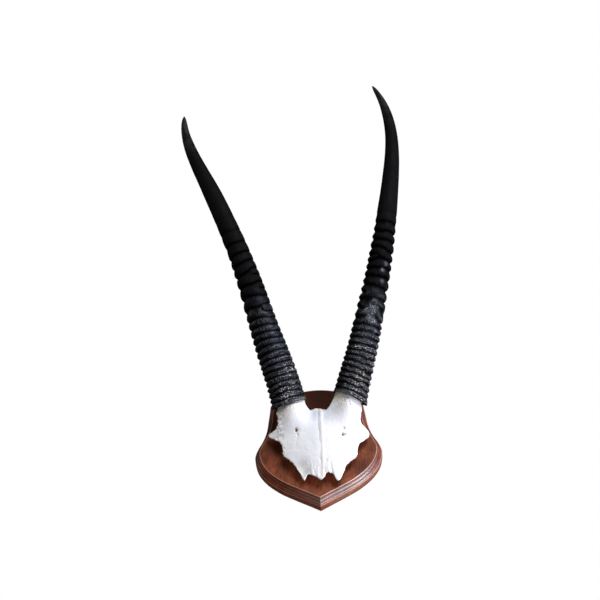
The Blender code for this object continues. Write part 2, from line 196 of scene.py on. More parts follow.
@dataclass
class Surface:
    """A closed surface: rows that each go once round, with a pole at either end."""

    start: Array
    rows: Array
    end: Array

    @classmethod
    def capped(cls, rows: Array) -> "Surface":
        """Close rows with a pole in the middle of the first and of the last."""
        return cls(rows[0].mean(axis=0), rows, rows[-1].mean(axis=0))

    def points(self) -> Array:
        """List the points: first pole, rows, last pole."""
        return np.vstack([self.start, self.rows.reshape(-1, 3), self.end])

    def faces(self) -> list[list[int]]:
        """List the faces: quads between the rows and a fan of triangles at each pole."""
        count, columns = self.rows.shape[:2]
        ring = np.arange(columns)
        after = (ring + 1) % columns
        low = np.arange(count - 1)[:, None] * columns + 1
        high = low + columns
        quads = np.stack([low + ring, low + after, high + after, high + ring], axis=-1).reshape(-1, 4)
        last = 1 + (count - 1) * columns
        first_fan = np.stack([np.zeros_like(ring), 1 + after, 1 + ring], axis=-1)
        last_fan = np.stack([last + ring, last + after, np.full_like(ring, last + columns)], axis=-1)
        return quads.tolist() + first_fan.tolist() + last_fan.tolist()

    def mesh(self, name: str) -> bpy.types.Mesh:
        """Make the mesh, with its faces pointing out."""
        mesh = bpy.data.meshes.new(name)
        mesh.from_pydata(self.points().tolist(), [], self.faces())
        turn_outwards(mesh)
        return mesh


def vertex_array(mesh: bpy.types.Mesh, name: str = "co") -> Array:
    """Read the places or normals of a mesh's vertices, one a row."""
    source = mesh.vertices if name == "co" else mesh.vertex_normals
    values = np.empty(len(mesh.vertices) * 3, np.float32)
    source.foreach_get("co" if name == "co" else "vector", values)
    return values.reshape(-1, 3).astype(float)


def turn_outwards(mesh: bpy.types.Mesh) -> None:
    """Flip a closed mesh that is inside out: its volume, summed over triangles from 0, is negative."""
    mesh.calc_loop_triangles()
    corners = np.empty(len(mesh.loop_triangles) * 3, np.int32)
    mesh.loop_triangles.foreach_get("vertices", corners)
    first, second, third = np.moveaxis(vertex_array(mesh)[corners.reshape(-1, 3)], 1, 0)
    if np.sum(first * np.cross(second, third)) < 0:
        mesh.flip_normals()


def set_places(mesh: bpy.types.Mesh, places: Array) -> None:
    """Move a mesh's vertices."""
    mesh.vertices.foreach_set("co", places.astype(np.float32).ravel())
    mesh.update()


def set_attribute(mesh: bpy.types.Mesh, name: str, values: Array) -> None:
    """Store a value or a vector at each vertex for the materials to read."""
    vector = values.ndim == 2
    attribute = mesh.attributes.new(name, "FLOAT_VECTOR" if vector else "FLOAT", "POINT")
    attribute.data.foreach_set("vector" if vector else "value", values.astype(np.float32).ravel())


def joined_mesh(name: str, surfaces: list[Surface]) -> bpy.types.Mesh:
    """Put several closed surfaces in one mesh."""
    meshes = [surface.mesh(f"{name}_{index}") for index, surface in enumerate(surfaces)]
    points, faces = [], []
    for mesh in meshes:
        offset = sum(len(part) for part in points)
        points.append(vertex_array(mesh))
        faces += [[corner + offset for corner in polygon.vertices] for polygon in mesh.polygons]
    joined = bpy.data.meshes.new(name)
    joined.from_pydata(np.vstack(points).tolist(), [], faces)
    for mesh in meshes:
        bpy.data.meshes.remove(mesh)
    return joined


def settled(thing: bpy.types.Object) -> bpy.types.Mesh:
    """Return the mesh of an object with its modifiers applied, and remove the object."""
    evaluated = thing.evaluated_get(bpy.context.evaluated_depsgraph_get())
    mesh = bpy.data.meshes.new_from_object(evaluated)
    bpy.data.objects.remove(thing, do_unlink=True)
    return mesh


def cut_away(thing: bpy.types.Object, cutters: list[bpy.types.Object]) -> bpy.types.Mesh:
    """Cut the cutters out of an object, and return the mesh that is left in place of them all."""
    for cutter in cutters:
        cut = thing.modifiers.new(cutter.name, "BOOLEAN")
        cut.operation = "DIFFERENCE"
        cut.solver = "EXACT"
        cut.object = cutter
    bpy.context.view_layer.update()
    mesh = settled(thing)
    for cutter in cutters:
        bpy.data.objects.remove(cutter, do_unlink=True)
    return mesh


def add_object(name: str, data: bpy.types.ID) -> bpy.types.Object:
    """Put a mesh, a camera or a lamp in the scene as an object at the origin."""
    thing = bpy.data.objects.new(name, data)
    bpy.context.scene.collection.objects.link(thing)
    return thing


def add_piece(name: str, mesh: bpy.types.Mesh, material: bpy.types.Material, slot: Slot,
              node: str, sharp_degrees: float = 180.0) -> bpy.types.Object:
    """Add a finished piece that rides on the body in place of a node of the solid model.

    Args:
        name: The piece's name.
        mesh: Its final mesh.
        material: Its finish.
        slot: The record's slot that the finish stands for; not used.
        node: The node it replaces.
        sharp_degrees: Edges bent more than this stay sharp.

    Returns:
        The piece.
    """
    mesh.materials.clear()
    mesh.materials.append(material)
    mesh.shade_smooth()
    mesh.set_sharp_from_angle(angle=math.radians(sharp_degrees))
    piece = add_object(name, mesh)
    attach(piece, BODY)
    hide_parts(node)
    LOG.info("%s: %d vertices, %d faces", name, len(mesh.vertices), len(mesh.polygons))
    return piece


Socket = bpy.types.NodeSocket
Source = Socket | float | tuple
Sockets = dict[str | int, Source]


@dataclass
class NodeSketch:
    """Adds shader nodes to one tree and links them."""

    tree: bpy.types.NodeTree

    def feed(self, node: bpy.types.Node, sockets: Sockets) -> bpy.types.Node:
        """Link or set a node's inputs, with a fourth value for a plain colour, and return the node."""
        for name, source in sockets.items():
            target = node.inputs[name]
            if isinstance(source, Socket):
                self.tree.links.new(source, target)
            elif target.type == "RGBA" and len(source) == 3:
                target.default_value = (*source, 1.0)
            else:
                target.default_value = source
        return node

    def node(self, kind: str, sockets: Sockets | None = None, **settings: object) -> bpy.types.Node:
        """Add a node.

        Args:
            kind: The node's type, without the ShaderNode in front.
            sockets: What each input gets: another node's output, or a value.
            settings: The node's own settings.

        Returns:
            The node.
        """
        made = self.tree.nodes.new(f"ShaderNode{kind}")
        for name, value in settings.items():
            setattr(made, name, value)
        return self.feed(made, sockets or {})

    def math(self, operation: str, first: Source, second: Source) -> Socket:
        """Add a Math node and return its output."""
        return self.node("Math", {0: first, 1: second}, operation=operation).outputs[0]

    def times(self, *values: Source) -> Socket:
        """Multiply values."""
        return reduce(partial(self.math, "MULTIPLY"), values)

    def plus(self, *values: Source) -> Socket:
        """Add values."""
        return reduce(partial(self.math, "ADD"), values)

    def coats(self, base: Source, *coats: tuple[Source, Source]) -> Source:
        """Blend colours over a base one after another, each by its own share."""
        for share, colour in coats:
            base = self.node("Mix", {0: share, 6: base, 7: colour}, data_type="RGBA").outputs[2]
        return base

    def ramp(self, value: Source, low: Source, high: Source, low_out: float = 0.0,
             high_out: float = 1.0) -> Socket:
        """Map a value smoothly from low..high to low_out..high_out."""
        sockets = {"Value": value, "From Min": low, "From Max": high, "To Min": low_out, "To Max": high_out}
        return self.node("MapRange", sockets, interpolation_type="SMOOTHSTEP").outputs["Result"]

    def attribute(self, name: str, output: str = "Fac") -> Socket:
        """Read one of the mesh's own attributes."""
        return self.node("Attribute", attribute_name=name).outputs[output]

    def object_place(self) -> Socket:
        """Read the place on the object, in metres."""
        return self.node("TexCoord").outputs["Object"]

    def bump(self, height: Socket, strength: float, distance: float) -> Socket:
        """Turn a height into a bumpy normal."""
        sockets = {"Height": height, "Strength": strength, "Distance": distance}
        return self.node("Bump", sockets).outputs[0]


class Effects:
    """The shader groups that several finishes share, each built once."""

    def __init__(self) -> None:
        """Build the groups."""
        self.streaks = self.group("streaks", self.draw_streaks, Scale=100.0, Detail=4.0, Low=0.35,
                                  High=0.65, Bend=0.0)
        self.pits = self.group("pits", self.draw_pits, Scale=500.0, Width=0.4, Cover=0.5)

    @staticmethod
    def group(name: str, draw: Callable[[NodeSketch, Socket, dict], Socket],
              **values: float) -> bpy.types.NodeTree:
        """Build a group with one output, a mask.

        Args:
            name: The group's name.
            draw: Draws the mask, given a sketch, the stretched place and the inputs by name.
            values: The inputs besides the place and its stretch, with their first values.

        Returns:
            The group's tree.
        """
        tree = bpy.data.node_groups.new(name, "ShaderNodeTree")
        inputs = {"Vector": (0.0, 0.0, 0.0), "Stretch": (1.0, 1.0, 1.0), **values}
        for label, value in inputs.items():
            kind = "Float" if isinstance(value, float) else "Vector"
            socket = tree.interface.new_socket(label, in_out="INPUT", socket_type=f"NodeSocket{kind}")
            socket.default_value = value
        tree.interface.new_socket("Mask", in_out="OUTPUT", socket_type="NodeSocketFloat")
        sketch = NodeSketch(tree)
        given = {socket.name: socket for socket in tree.nodes.new("NodeGroupInput").outputs}
        scaled = sketch.node("VectorMath", {0: given["Vector"], 1: given["Stretch"]}, operation="MULTIPLY")
        leave = tree.nodes.new("NodeGroupOutput")
        tree.links.new(draw(sketch, scaled.outputs[0], given), leave.inputs["Mask"])
        return tree

    @staticmethod
    def draw_streaks(sketch: NodeSketch, place: Socket, given: dict[str, Socket]) -> Socket:
        """Draw stretched noise: wood grain, horn fibres and bone fibres are all long in one direction."""
        noise = sketch.node("TexNoise", {"Vector": place, "Scale": given["Scale"], "Detail": given["Detail"],
                                         "Distortion": given["Bend"]})
        return sketch.ramp(noise.outputs[0], given["Low"], given["High"])

    @staticmethod
    def draw_pits(sketch: NodeSketch, place: Socket, given: dict[str, Socket]) -> Socket:
        """Draw scattered pits: cells of one size, of which some have a round pit."""
        cells = sketch.node("TexVoronoi", {"Vector": place, "Scale": given["Scale"]})
        chance = sketch.node("SeparateColor", {0: cells.outputs["Color"]}).outputs[0]
        kept = sketch.math("LESS_THAN", chance, given["Cover"])
        return sketch.times(sketch.ramp(cells.outputs["Distance"], given["Width"], 0.0), kept)

    def at(self, sketch: NodeSketch, place: Socket) -> tuple[Callable[..., Socket], Callable[..., Socket]]:
        """Give two functions that add streaks or pits at a place.

        Each takes the group's other inputs in their order, the stretch first, and returns the mask.
        """
        def add(tree: bpy.types.NodeTree, *values: Source) -> Socket:
            """Add the group's node."""
            return sketch.node("Group", dict(enumerate((place, *values))), node_tree=tree).outputs[0]

        return partial(add, self.streaks), partial(add, self.pits)


def new_material(name: str) -> tuple[bpy.types.Material, NodeSketch, bpy.types.Node]:
    """Start a material and return it with a sketch of its tree and its Principled shader."""
    material = bpy.data.materials.new(name)
    material.use_nodes = True
    return material, NodeSketch(material.node_tree), material.node_tree.nodes["Principled BSDF"]


@dataclass(frozen=True)
class VarnishedWood:
    """Red-brown stained hardwood under a clear varnish, its grain running up the shield."""

    dark: Colour = (0.050, 0.011, 0.006)
    middle: Colour = (0.185, 0.041, 0.015)
    light: Colour = (0.380, 0.105, 0.036)
    # painted shadow on the board, and darker figure in the wood
    aged: Colour = (0.027, 0.007, 0.004)
    groove: Colour = (0.022, 0.007, 0.005)
    # Pale edges: worn pale in part, and a painted highlight on the moulding's edges and painted light on the
    # right side wall.
    rubbed: Colour = (0.720, 0.430, 0.310)

    def material(self, effects: Effects) -> bpy.types.Material:
        """Build the material: broad bands, fine grain and open pores, darker in the moulding's grooves."""
        material, sketch, shader = new_material("varnished_wood")
        streaks, pits = effects.at(sketch, sketch.object_place())
        times, ramp = sketch.times, sketch.ramp
        bands = streaks((1.0, 1.0, 0.10), 62.0, 3.0, 0.34, 0.66, 0.6)
        grain = streaks((1.0, 1.0, 0.035), 620.0, 5.0, 0.32, 0.72)
        pores = pits((1.0, 1.0, 0.11), 900.0, 0.42, 0.35)
        glow = streaks((1.0, 1.0, 0.55), 85.0, 3.0, 0.48, 0.66, 0.5)
        blots = streaks((1.0, 1.0, 0.6), 150.0, 3.0, 0.54, 0.70, 0.8)
        aged, gloss = sketch.attribute("aged"), sketch.attribute("gloss")
        base = sketch.coats(
            self.middle, (times(bands, 0.35), self.dark), (times(grain, 0.30), self.light),
            (times(glow, 0.40), self.light), (times(blots, 0.62), self.dark),
            (times(pores, 0.65), self.dark), (aged, self.aged),
            (sketch.attribute("stained"), self.groove), (sketch.attribute("rubbed"), self.rubbed))
        height = sketch.math("SUBTRACT", times(grain, 0.4), pores)
        sketch.feed(shader, {
            "Base Color": base, "Roughness": ramp(grain, 0.0, 1.0, 0.46, 0.34),
            "Specular IOR Level": ramp(aged, 0.0, 1.0, 0.18, 0.04),
            "Coat Weight": ramp(gloss, 0.0, 1.0, 0.05, 0.9), "Coat Roughness": 0.36,
            "Coat IOR": ramp(gloss, 0.0, 1.0, 1.5, 2.15), "Normal": sketch.bump(height, 0.25, 0.0003),
        })
        return material


@dataclass(frozen=True)
class BleachedBone:
    """Dry bone bleached white, with painted bluish shade, creamy tints partly painted as shade, warm stains
    and porous patches.
    """

    white: Colour = (0.830, 0.835, 0.845)
    cool: Colour = (0.400, 0.450, 0.555)
    # creamy tint: warm staining in part, painted shade in part
    cream: Colour = (0.780, 0.720, 0.590)
    fibre: Colour = (0.330, 0.310, 0.270)
    stain: Colour = (0.330, 0.150, 0.050)
    hole: Colour = (0.030, 0.018, 0.012)

    def material(self, effects: Effects) -> bpy.types.Material:
        """Build the material: masks stored on the skull say where it is shaded, stained or porous."""
        material, sketch, shader = new_material("bleached_bone")
        place = sketch.object_place()
        streaks, pits = effects.at(sketch, place)
        times = sketch.times
        shade, cream, porous = map(sketch.attribute, ("shade", "cream", "porous"))
        stain, hole = map(sketch.attribute, ("stain", "hole"))
        mottle = streaks((1.0, 1.0, 0.6), 70.0, 4.0, 0.40, 0.75)
        fibres = streaks((1.0, 0.7, 0.22), 900.0, 4.0, 0.50, 0.68, 0.4)
        pitted = pits((1.0, 1.0, 0.65), 400.0, 0.50, 0.45)
        grain = sketch.node("TexNoise", {"Vector": place, "Scale": 2200.0, "Detail": 3.0}).outputs[0]
        rough = times(porous, fibres)
        base = sketch.coats(
            self.white, (times(mottle, 0.08), self.cool), (shade, self.cool), (cream, self.cream),
            (times(rough, 0.55), self.fibre), (times(pitted, porous, 0.8), self.fibre),
            (stain, self.stain), (hole, self.hole))
        height = sketch.math("SUBTRACT", times(grain, 0.12), times(sketch.plus(rough, pitted), porous))
        sketch.feed(shader, {
            "Base Color": base, "Roughness": sketch.ramp(porous, 0.0, 1.0, 0.50, 0.75),
            "Specular IOR Level": 0.35, "Normal": sketch.bump(height, 0.6, 0.0005),
        })
        return material


@dataclass(frozen=True)
class HornKeratin:
    """Near-black horn with a bluish sheen, partly painted on the crests, fibrous and flecked with grey
    towards the base.
    """

    # Painted light and shade on the rings: crests lighter, valleys darker. Fibre is a painted bluish sheen on
    # the lit crests, and thread paints the fine lines lighter, partly as a painted highlight.
    valley: Colour = (0.0006, 0.0005, 0.0007)
    crest: Colour = (0.0024, 0.0025, 0.0036)
    fibre: Colour = (0.0560, 0.0610, 0.0840)
    thread: Colour = (0.1700, 0.1750, 0.2000)
    # Pale flecks, also used for painted glints.
    fleck_and_painted_glint: Colour = (0.8000, 0.7700, 0.7300)
    amber: Colour = (0.5000, 0.4200, 0.3100)
    lip: Colour = (0.1500, 0.1440, 0.1380)
    smooth: Colour = (0.0055, 0.0051, 0.0050)
    tip: Colour = (0.0240, 0.0215, 0.0200)
    sheen: Colour = (0.78, 0.86, 1.0)

    def material(self, effects: Effects) -> bpy.types.Material:
        """Build the material: patterns follow the horn as if it were straight, and stored masks say where."""
        material, sketch, shader = new_material("horn_keratin")
        times, plus, ramp, attribute = sketch.times, sketch.plus, sketch.ramp, sketch.attribute
        straight = attribute("straight", "Vector")
        streaks, _ = effects.at(sketch, straight)
        fibres = streaks((1.0, 1.0, 0.16), 500.0, 3.0, 0.53, 0.61)
        breaks = streaks((1.0, 1.0, 0.45), 440.0, 2.0, 0.46, 0.56, 0.3)
        patches = streaks((1.0, 1.0, 1.0), 42.0, 3.0, 0.42, 0.66)
        chips = streaks((0.60, 0.60, 1.0), 600.0, 2.0, 0.58, 0.65)
        facets = sketch.node("TexVoronoi", {"Vector": straight, "Scale": 260.0}).outputs["Distance"]
        crest, old, young, crinkle = map(attribute, ("crest", "old", "young", "crinkle"))
        # Painted light and shade: the side of each horn that faces left is kept darker and duller, and only
        # the side facing right gets the lit sheen, threads and flecks.
        painted_lit_side = ramp(attribute("sheltered"), 0.0, 1.0, 1.0, 0.26)
        raised = ramp(crest, 0.30, 0.92)
        # Painted highlight along the ring crests, brightest on their tops, drawn in fibre streaks.
        edge = plus(times(raised, 0.35), ramp(crest, 0.90, 1.0, 0.0, 0.85))
        lit = times(fibres, edge, ramp(young, 0.0, 1.0, 1.0, 0.07), painted_lit_side)
        broken = times(ramp(attribute("thread"), 0.42, 0.88), raised, ramp(breaks, 0.0, 1.0, 0.12, 1.0))
        flecked = times(chips, ramp(old, 0.6, 1.0), raised, painted_lit_side, ramp(patches, 0.0, 1.0, 0.12, 0.95))
        # Shiny spots carry a painted glint: a lighter colour besides their real shine.
        polish = sketch.math("MAXIMUM", attribute("polish"), times(crinkle, 0.9))
        # Painted glints on the crinkled spots' facets, with painted shade darkening the spots around them.
        glint = times(ramp(facets, 0.40, 0.15), crinkle)
        base = sketch.coats(
            self.valley, (raised, self.crest), (times(young, raised), self.smooth),
            (times(attribute("point"), patches), self.tip), (lit, self.fibre),
            (times(broken, old, painted_lit_side), self.thread), (flecked, self.fleck_and_painted_glint),
            (times(attribute("amber"), broken, 0.85), self.amber), (times(attribute("lip"), 0.7), self.lip),
            (times(crinkle, 0.7), self.valley), (times(glint, 0.60), self.fleck_and_painted_glint),
            (times(polish, 0.30), self.thread))
        sheen = times(ramp(young, 0.0, 1.0, 0.28, 0.02), ramp(crest, 0.2, 0.8, 0.25, 1.0), painted_lit_side)
        height = plus(times(fibres, crest), times(plus(breaks, chips), old), times(facets, crinkle, -6.0))
        sketch.feed(shader, {
            "Base Color": base,
            "Roughness": plus(ramp(patches, 0.0, 1.0, 0.34, 0.48), times(young, 0.16), times(polish, -0.20)),
            "Specular IOR Level": plus(sheen, times(polish, 0.85)), "Specular Tint": self.sheen,
            "Normal": sketch.bump(height, 0.9, 0.0006),
        })
        return material


@dataclass(frozen=True)
class ScrewSteel:
    """Yellow-passivated steel with turning marks."""

    bright: Colour = (0.60, 0.52, 0.36)
    dull: Colour = (0.34, 0.28, 0.20)

    def material(self, effects: Effects) -> bpy.types.Material:
        """Build the material: fine marks and dull patches."""
        material, sketch, shader = new_material("screw_steel")
        streaks, _ = effects.at(sketch, sketch.object_place())
        marks = streaks((1.0, 6.0, 1.0), 900.0, 2.0, 0.3, 0.7)
        patches = streaks((1.0, 1.0, 1.0), 350.0, 3.0, 0.4, 0.7)
        sketch.feed(shader, {
            "Base Color": sketch.coats(self.bright, (patches, self.dull)),
            "Roughness": sketch.ramp(marks, 0.0, 1.0, 0.28, 0.42),
            "Metallic": 1.0, "Normal": sketch.bump(marks, 0.2, 0.00005),
        })
        return material


@dataclass
class HornSheath:
    """One hollow, ringed horn. Tables go by share of its length, and angles round it start outside.

    Ring counts say how many rings lie below a share on the outer side. At each fork, a share with an
    angle in front and one behind, the inner side gains a ring. The rings wander more at each unrest:
    a share, a width and an amount. Burrs stand proud: a share, degrees and a height. Scars are ring
    counts worn like the oldest rings. Shiny, crinkled and amber spots are each a share and degrees:
    shiny ones shine and carry a painted glint, crinkled ones are broken into small facets with painted
    glints and painted shade between them, and amber ones are yellowed.
    """

    name: str
    node: str
    side: Side
    base: Place
    length: float
    splay: Pairs
    diameter: Pairs
    ring_counts: Pairs
    ring_relief: Pairs
    fading: tuple[float, float]
    dulling: tuple[float, float]
    forks: Triples
    forward_rim_tilt: float
    side_rim_tilt: float
    rim_arch: float
    inner_relief: float
    front_relief: float
    crest_powers: tuple[float, float]
    crumple: float
    unrest: Triples
    burrs: Triples
    polished_glints: Pairs
    crinkled: Pairs
    threads: int
    scars: tuple[float, ...]
    amber: Pairs
    seed: int
    base_lean: float = 30.0
    tip_lean: float = 14.0
    tip_radius: float = 0.0008
    crest_place: float = 0.40
    slant_share: float = 0.16
    burr_width: float = 0.0012
    polished_glint_width: float = 0.0029
    crinkle_width: float = 0.0040
    amber_width: float = 0.0150
    hollow_top: float = 0.0182
    wander: float = 0.13
    skin: float = 0.0002
    rough_skin: float = 0.00006
    thread_depth: float = 0.00042
    fibre_depth: float = 0.00010
    smooth_fibre_depth: float = 0.00004
    chip_depth: float = 0.0006
    swell_depth: float = 0.00022
    old_share: tuple[float, float] = (0.13, 0.25)
    columns: int = 208
    rows_per_ring: int = 15
    smooth_rows: int = 84

    def directions(self, share: float | Array) -> Array:
        """Point along the axis: splay turns it sideways, lean turns it out of the shield's plane."""
        splay = np.radians(read_table(self.splay, share)) * self.side.value
        lean = np.radians(self.base_lean + (self.tip_lean - self.base_lean) * np.clip(share, 0, 1))
        return np.stack([np.sin(splay) * np.cos(lean), -np.sin(lean), np.cos(splay) * np.cos(lean)], axis=-1)

    def axis(self, shares: Array) -> Array:
        """Walk the axis: its directions added up from the base, and straight on below it."""
        fine = np.linspace(0, 1, 801)
        middles = (fine[1:] + fine[:-1]) / 2
        steps = self.directions(middles) * self.length * (fine[1] - fine[0])
        walked = np.vstack([np.zeros(3), np.cumsum(steps, axis=0)])
        path = np.stack([np.interp(shares, fine, walked[:, each]) for each in range(3)], axis=-1)
        below = np.minimum(shares, 0)[..., None] * self.length * self.directions(0.0)
        return path + below + self.rim_centre()

    def rim_centre(self) -> Array:
        """Find the centre of the rim."""
        return np.array(self.base) - (0, 0, TIP_DROP)

    def rim_normal(self) -> Array:
        """Find the direction out of the rim: the axis, tilted forwards and outwards."""
        forwards = Matrix.Rotation(math.radians(self.forward_rim_tilt), 3, "X")
        sideways = Matrix.Rotation(math.radians(self.side_rim_tilt * self.side.value), 3, "Y")
        return np.array((sideways @ forwards @ Vector(self.directions(0.0))).normalized())

    def across(self, shares: Array) -> tuple[Array, Array]:
        """Find the directions outwards and forwards, at right angles to the axis."""
        along = self.directions(shares)
        forward = np.array((0.0, -1.0, 0.0))
        forward = unit(forward - (along @ forward)[..., None] * along)
        return np.cross(along, forward) * self.side.value, forward

    def ring_count(self, share: Array) -> Array:
        """Count the rings up to a share of the length."""
        return read_table(self.ring_counts, share)

    def share_at(self, count: Array) -> Array:
        """Find the share of the length at a ring count."""
        return read_table([(rings, share) for share, rings in self.ring_counts], count)

    def forked(self, share: Array, angle: Array) -> Array:
        """Count the rings that the forks add: the count turns once round a fork's two points.

        The hyperbolic sine wraps the turn round the horn without a seam. Where the count jumps, it
        jumps by whole rings.
        """
        added = np.zeros_like(share)
        for place, front, back in self.forks:
            along = (share - place) * self.length / (read_table(self.diameter, place) / 2)
            turns = [np.angle(np.sinh((along + 1j * (angle - math.radians(degrees))) / 2))
                     - np.angle(np.sinh((along - 1j * math.radians(degrees)) / 2))
                     for degrees in (front, back)]
            added = added + (turns[1] - turns[0]) / (2 * math.pi)
        return added

    def row_shares(self) -> Array:
        """Place the rows: evenly on each ring, then evenly along the smooth part, closer at the tip."""
        ringed_share, rings = self.ring_counts[-1]
        ringed = self.share_at(np.linspace(0, rings, rings * self.rows_per_ring + 1))
        smooth = np.linspace(ringed_share, 1, self.smooth_rows)[1:]
        end = 1 - np.array((2.0, 1.0, 0.4)) * self.tip_radius / self.length
        return np.concatenate([ringed, smooth[smooth < end[0]], end])

    def arch(self, angle: Array) -> Array:
        """Raise the rim's front, in metres."""
        return self.rim_arch * self.forwards(angle)

    def surface_noise(self, share: Array, angle: Array, width: float, long: float, seed: int) -> Array:
        """Read seamless noise in grains of a width round the horn and a length along it."""
        radius = read_smooth(self.diameter, share) / 2
        places = np.stack([radius * np.cos(angle) / width, radius * np.sin(angle) / width,
                           share * self.length / long], axis=-1)
        return SoftNoise(self.seed + seed)(places)

    def ring_noise(self, count: Array, angle: Array, rings: float, around: float, seed: int) -> Array:
        """Read seamless noise that changes over a number of rings and a few times round the horn."""
        places = np.stack([count / rings, around * np.cos(angle), around * np.sin(angle)], axis=-1)
        return SoftNoise(self.seed + seed)(places)

    def ring_shape(self, count: Array, angle: Array) -> Array:
        """Shape one ring, from 0 in the valley to 1 on the crest.

        The crest sits a little below the ring's middle. Its height is 1 less a power of the
        distance from the crest: a high power gives a round bead outside, a low one a point inside.
        """
        share = count % 1
        place = np.where(share < self.crest_place, share / self.crest_place,
                         (1 - share) / (1 - self.crest_place))
        outer, inner = self.crest_powers
        power = outer + (inner - outer) * self.inwards(angle)
        return 1 - (1 - place) ** power

    @staticmethod
    def inwards(angle: Array) -> Array:
        """Say how far an angle is to the inner side, from 0 to 1."""
        return (1 - np.cos(angle)) / 2

    @staticmethod
    def forwards(angle: Array) -> Array:
        """Say how far an angle is to the front, from 0 to 1: its sine squared, and 0 behind."""
        return np.maximum(np.sin(angle), 0) ** 2

    def spots(self, share: Array, angle: Array, radius: Array, centres: Pairs, width: float) -> Array:
        """Mark a round spot at each centre, given by its share of the length and its degrees."""
        away = (np.hypot((share - place) * self.length, (angle - math.radians(degrees)) * radius)
                for place, degrees in centres)
        return sum((bell(distance, width) for distance in away), 0 * share)

    def outside(self) -> tuple[Array, dict[str, Array]]:
        """Work out the outer surface.

        A row starts as a circle at right angles to the axis and is slanted to follow the rim near
        the base. Its radius is the table's, less the ring relief in the valleys, with waves, split
        lines, fibres and chips from seamless noise.

        Returns:
            The rows of points, and the masks for the finish.
        """
        share = self.row_shares()[:, None]
        angle = (np.arange(self.columns) / self.columns * 2 * math.pi - math.pi / 2)[None, :]
        share, angle = np.broadcast_arrays(share, angle)
        outer, forward = self.across(share)
        radial = np.cos(angle)[..., None] * outer + np.sin(angle)[..., None] * forward
        radius = np.maximum(read_smooth(self.diameter, share) / 2, self.tip_radius)

        count = self.ring_count(share)
        waver = self.wander * self.ring_noise(count, angle, 2.2, 1.1, 1)
        waver = waver + self.crumple * self.ring_noise(count, angle, 0.9, 5.0, 9)
        for middle, width, amount in self.unrest:
            waver = waver + amount * bell(share - middle, width) * self.ring_noise(count, angle, 1.1, 2.6, 2)
        count = count + waver * ease(share, 0.004, 0.03)
        forked = count + self.forked(share, angle)
        ringed = 1 - ease(share, *self.fading)
        shape = self.ring_shape(forked, angle)
        depth = read_smooth(self.ring_relief, share)
        depth = depth * (1 + self.inner_relief * self.inwards(angle)
                         + self.front_relief * self.forwards(angle))
        depth = depth * (1 + 0.22 * self.ring_noise(count, angle, 0.9, 0.9, 3)) * ringed
        depth = depth * ease(share, 0.0, 0.010)
        old = 1 - ease(share, *self.old_share)
        for place in self.scars:
            old = np.maximum(old, 0.9 * bell(count - place, 0.20))
        young = ease(share, *self.dulling) * (1 - 0.6 * ease(share, 0.84, 0.98))

        fibres = self.surface_noise(share, angle, 0.0021, 0.011, 4)
        drift = 0.8 * self.ring_noise(count, angle, 1.3, 2.0, 5)
        lines = np.cos(2 * math.pi * (self.threads * forked + drift))
        lines = lines * ease(self.ring_noise(count, angle, 1.7, 2.2, 6), -0.60, 0.0)
        chips = np.maximum(self.surface_noise(share, angle, 0.0028, 0.0026, 7) - 0.2, 0)
        swell = self.surface_noise(share, angle, 0.011, 0.030, 8)
        sunk = (depth * (1 - shape) + self.skin + self.rough_skin * (1 - young)
                + self.thread_depth * old * (1 - lines) * shape
                + self.fibre_depth * (1 - fibres) * (1 - young) * shape
                + self.smooth_fibre_depth * (1 - fibres) * young
                + self.chip_depth * old * chips
                + self.swell_depth * (1 - swell) * (0.4 + 0.6 * ringed))
        sunk = sunk * ease(radius, self.tip_radius, 6 * self.tip_radius)
        for place, degrees, height in self.burrs:
            round_way = (np.radians(degrees) - angle + math.pi) % (2 * math.pi) - math.pi
            apart = np.hypot((share - place) * self.length, round_way * radius)
            sunk = sunk - height * bell(apart, self.burr_width)

        normal = self.rim_normal()
        slant = -radius * (radial @ normal) / (self.directions(0.0) @ normal) + self.arch(angle)
        fade = (1 - np.clip(share / self.slant_share, 0, 1)) ** 2
        points = self.axis(share + slant * fade / self.length) + (radius - sunk)[..., None] * radial
        straight = np.stack([radius * np.cos(angle), radius * np.sin(angle), share * self.length], axis=-1)
        spots = partial(self.spots, share, angle, radius)
        masks = {"crest": shape * ringed + 0.8 * (1 - ringed), "old": old, "young": young,
                 "straight": straight, "thread": (1 + lines) / 2,
                 "amber": spots(self.amber, self.amber_width) * old,
                 "polish": spots(self.polished_glints, self.polished_glint_width),
                 "crinkle": spots(self.crinkled, self.crinkle_width),
                 # Painted shade on the side of each horn that faces left.
                 "sheltered": ease(-self.side.value * np.cos(angle), 0.05, 0.70) + 0 * share,
                 "point": ease(share, 0.80, 0.95),
                 "lip": (1 - ease(share, 0.0, 0.010)) * ease(self.inwards(angle), 0.3, 0.8)}
        return points, masks

    def hollow(self, rim: Array) -> Array:
        """Work out the lip and the hollow over the bony core, from deep inside out to the rim.

        Args:
            rim: The outer surface's first row.

        Returns:
            Rows of points: each is the rim drawn in towards its centre and lifted along its normal.
        """
        lip = ((0.0021, 0.0032), (0.0020, 0.0012), (0.0018, 0.0002), (0.0014, -0.0003),
               (0.0008, -0.0004), (0.00025, -0.00025))
        dome = ((0.25, 0.0178), (0.50, 0.0165), (0.70, 0.0145), (0.84, 0.0120), (0.93, 0.0090),
                (0.98, 0.0058))
        normal = self.rim_normal()
        away = rim - self.rim_centre()
        lift = away @ normal
        flat = away - lift[:, None] * normal
        reach = np.linalg.norm(flat, axis=1, keepdims=True)
        rows = [flat * share * (reach - lip[0][0]) / reach + height * normal for share, height in dome]
        rows += [flat * (reach - inset) / reach + (lift[:, None] + height) * normal for inset, height in lip]
        return np.array(rows) + self.rim_centre()

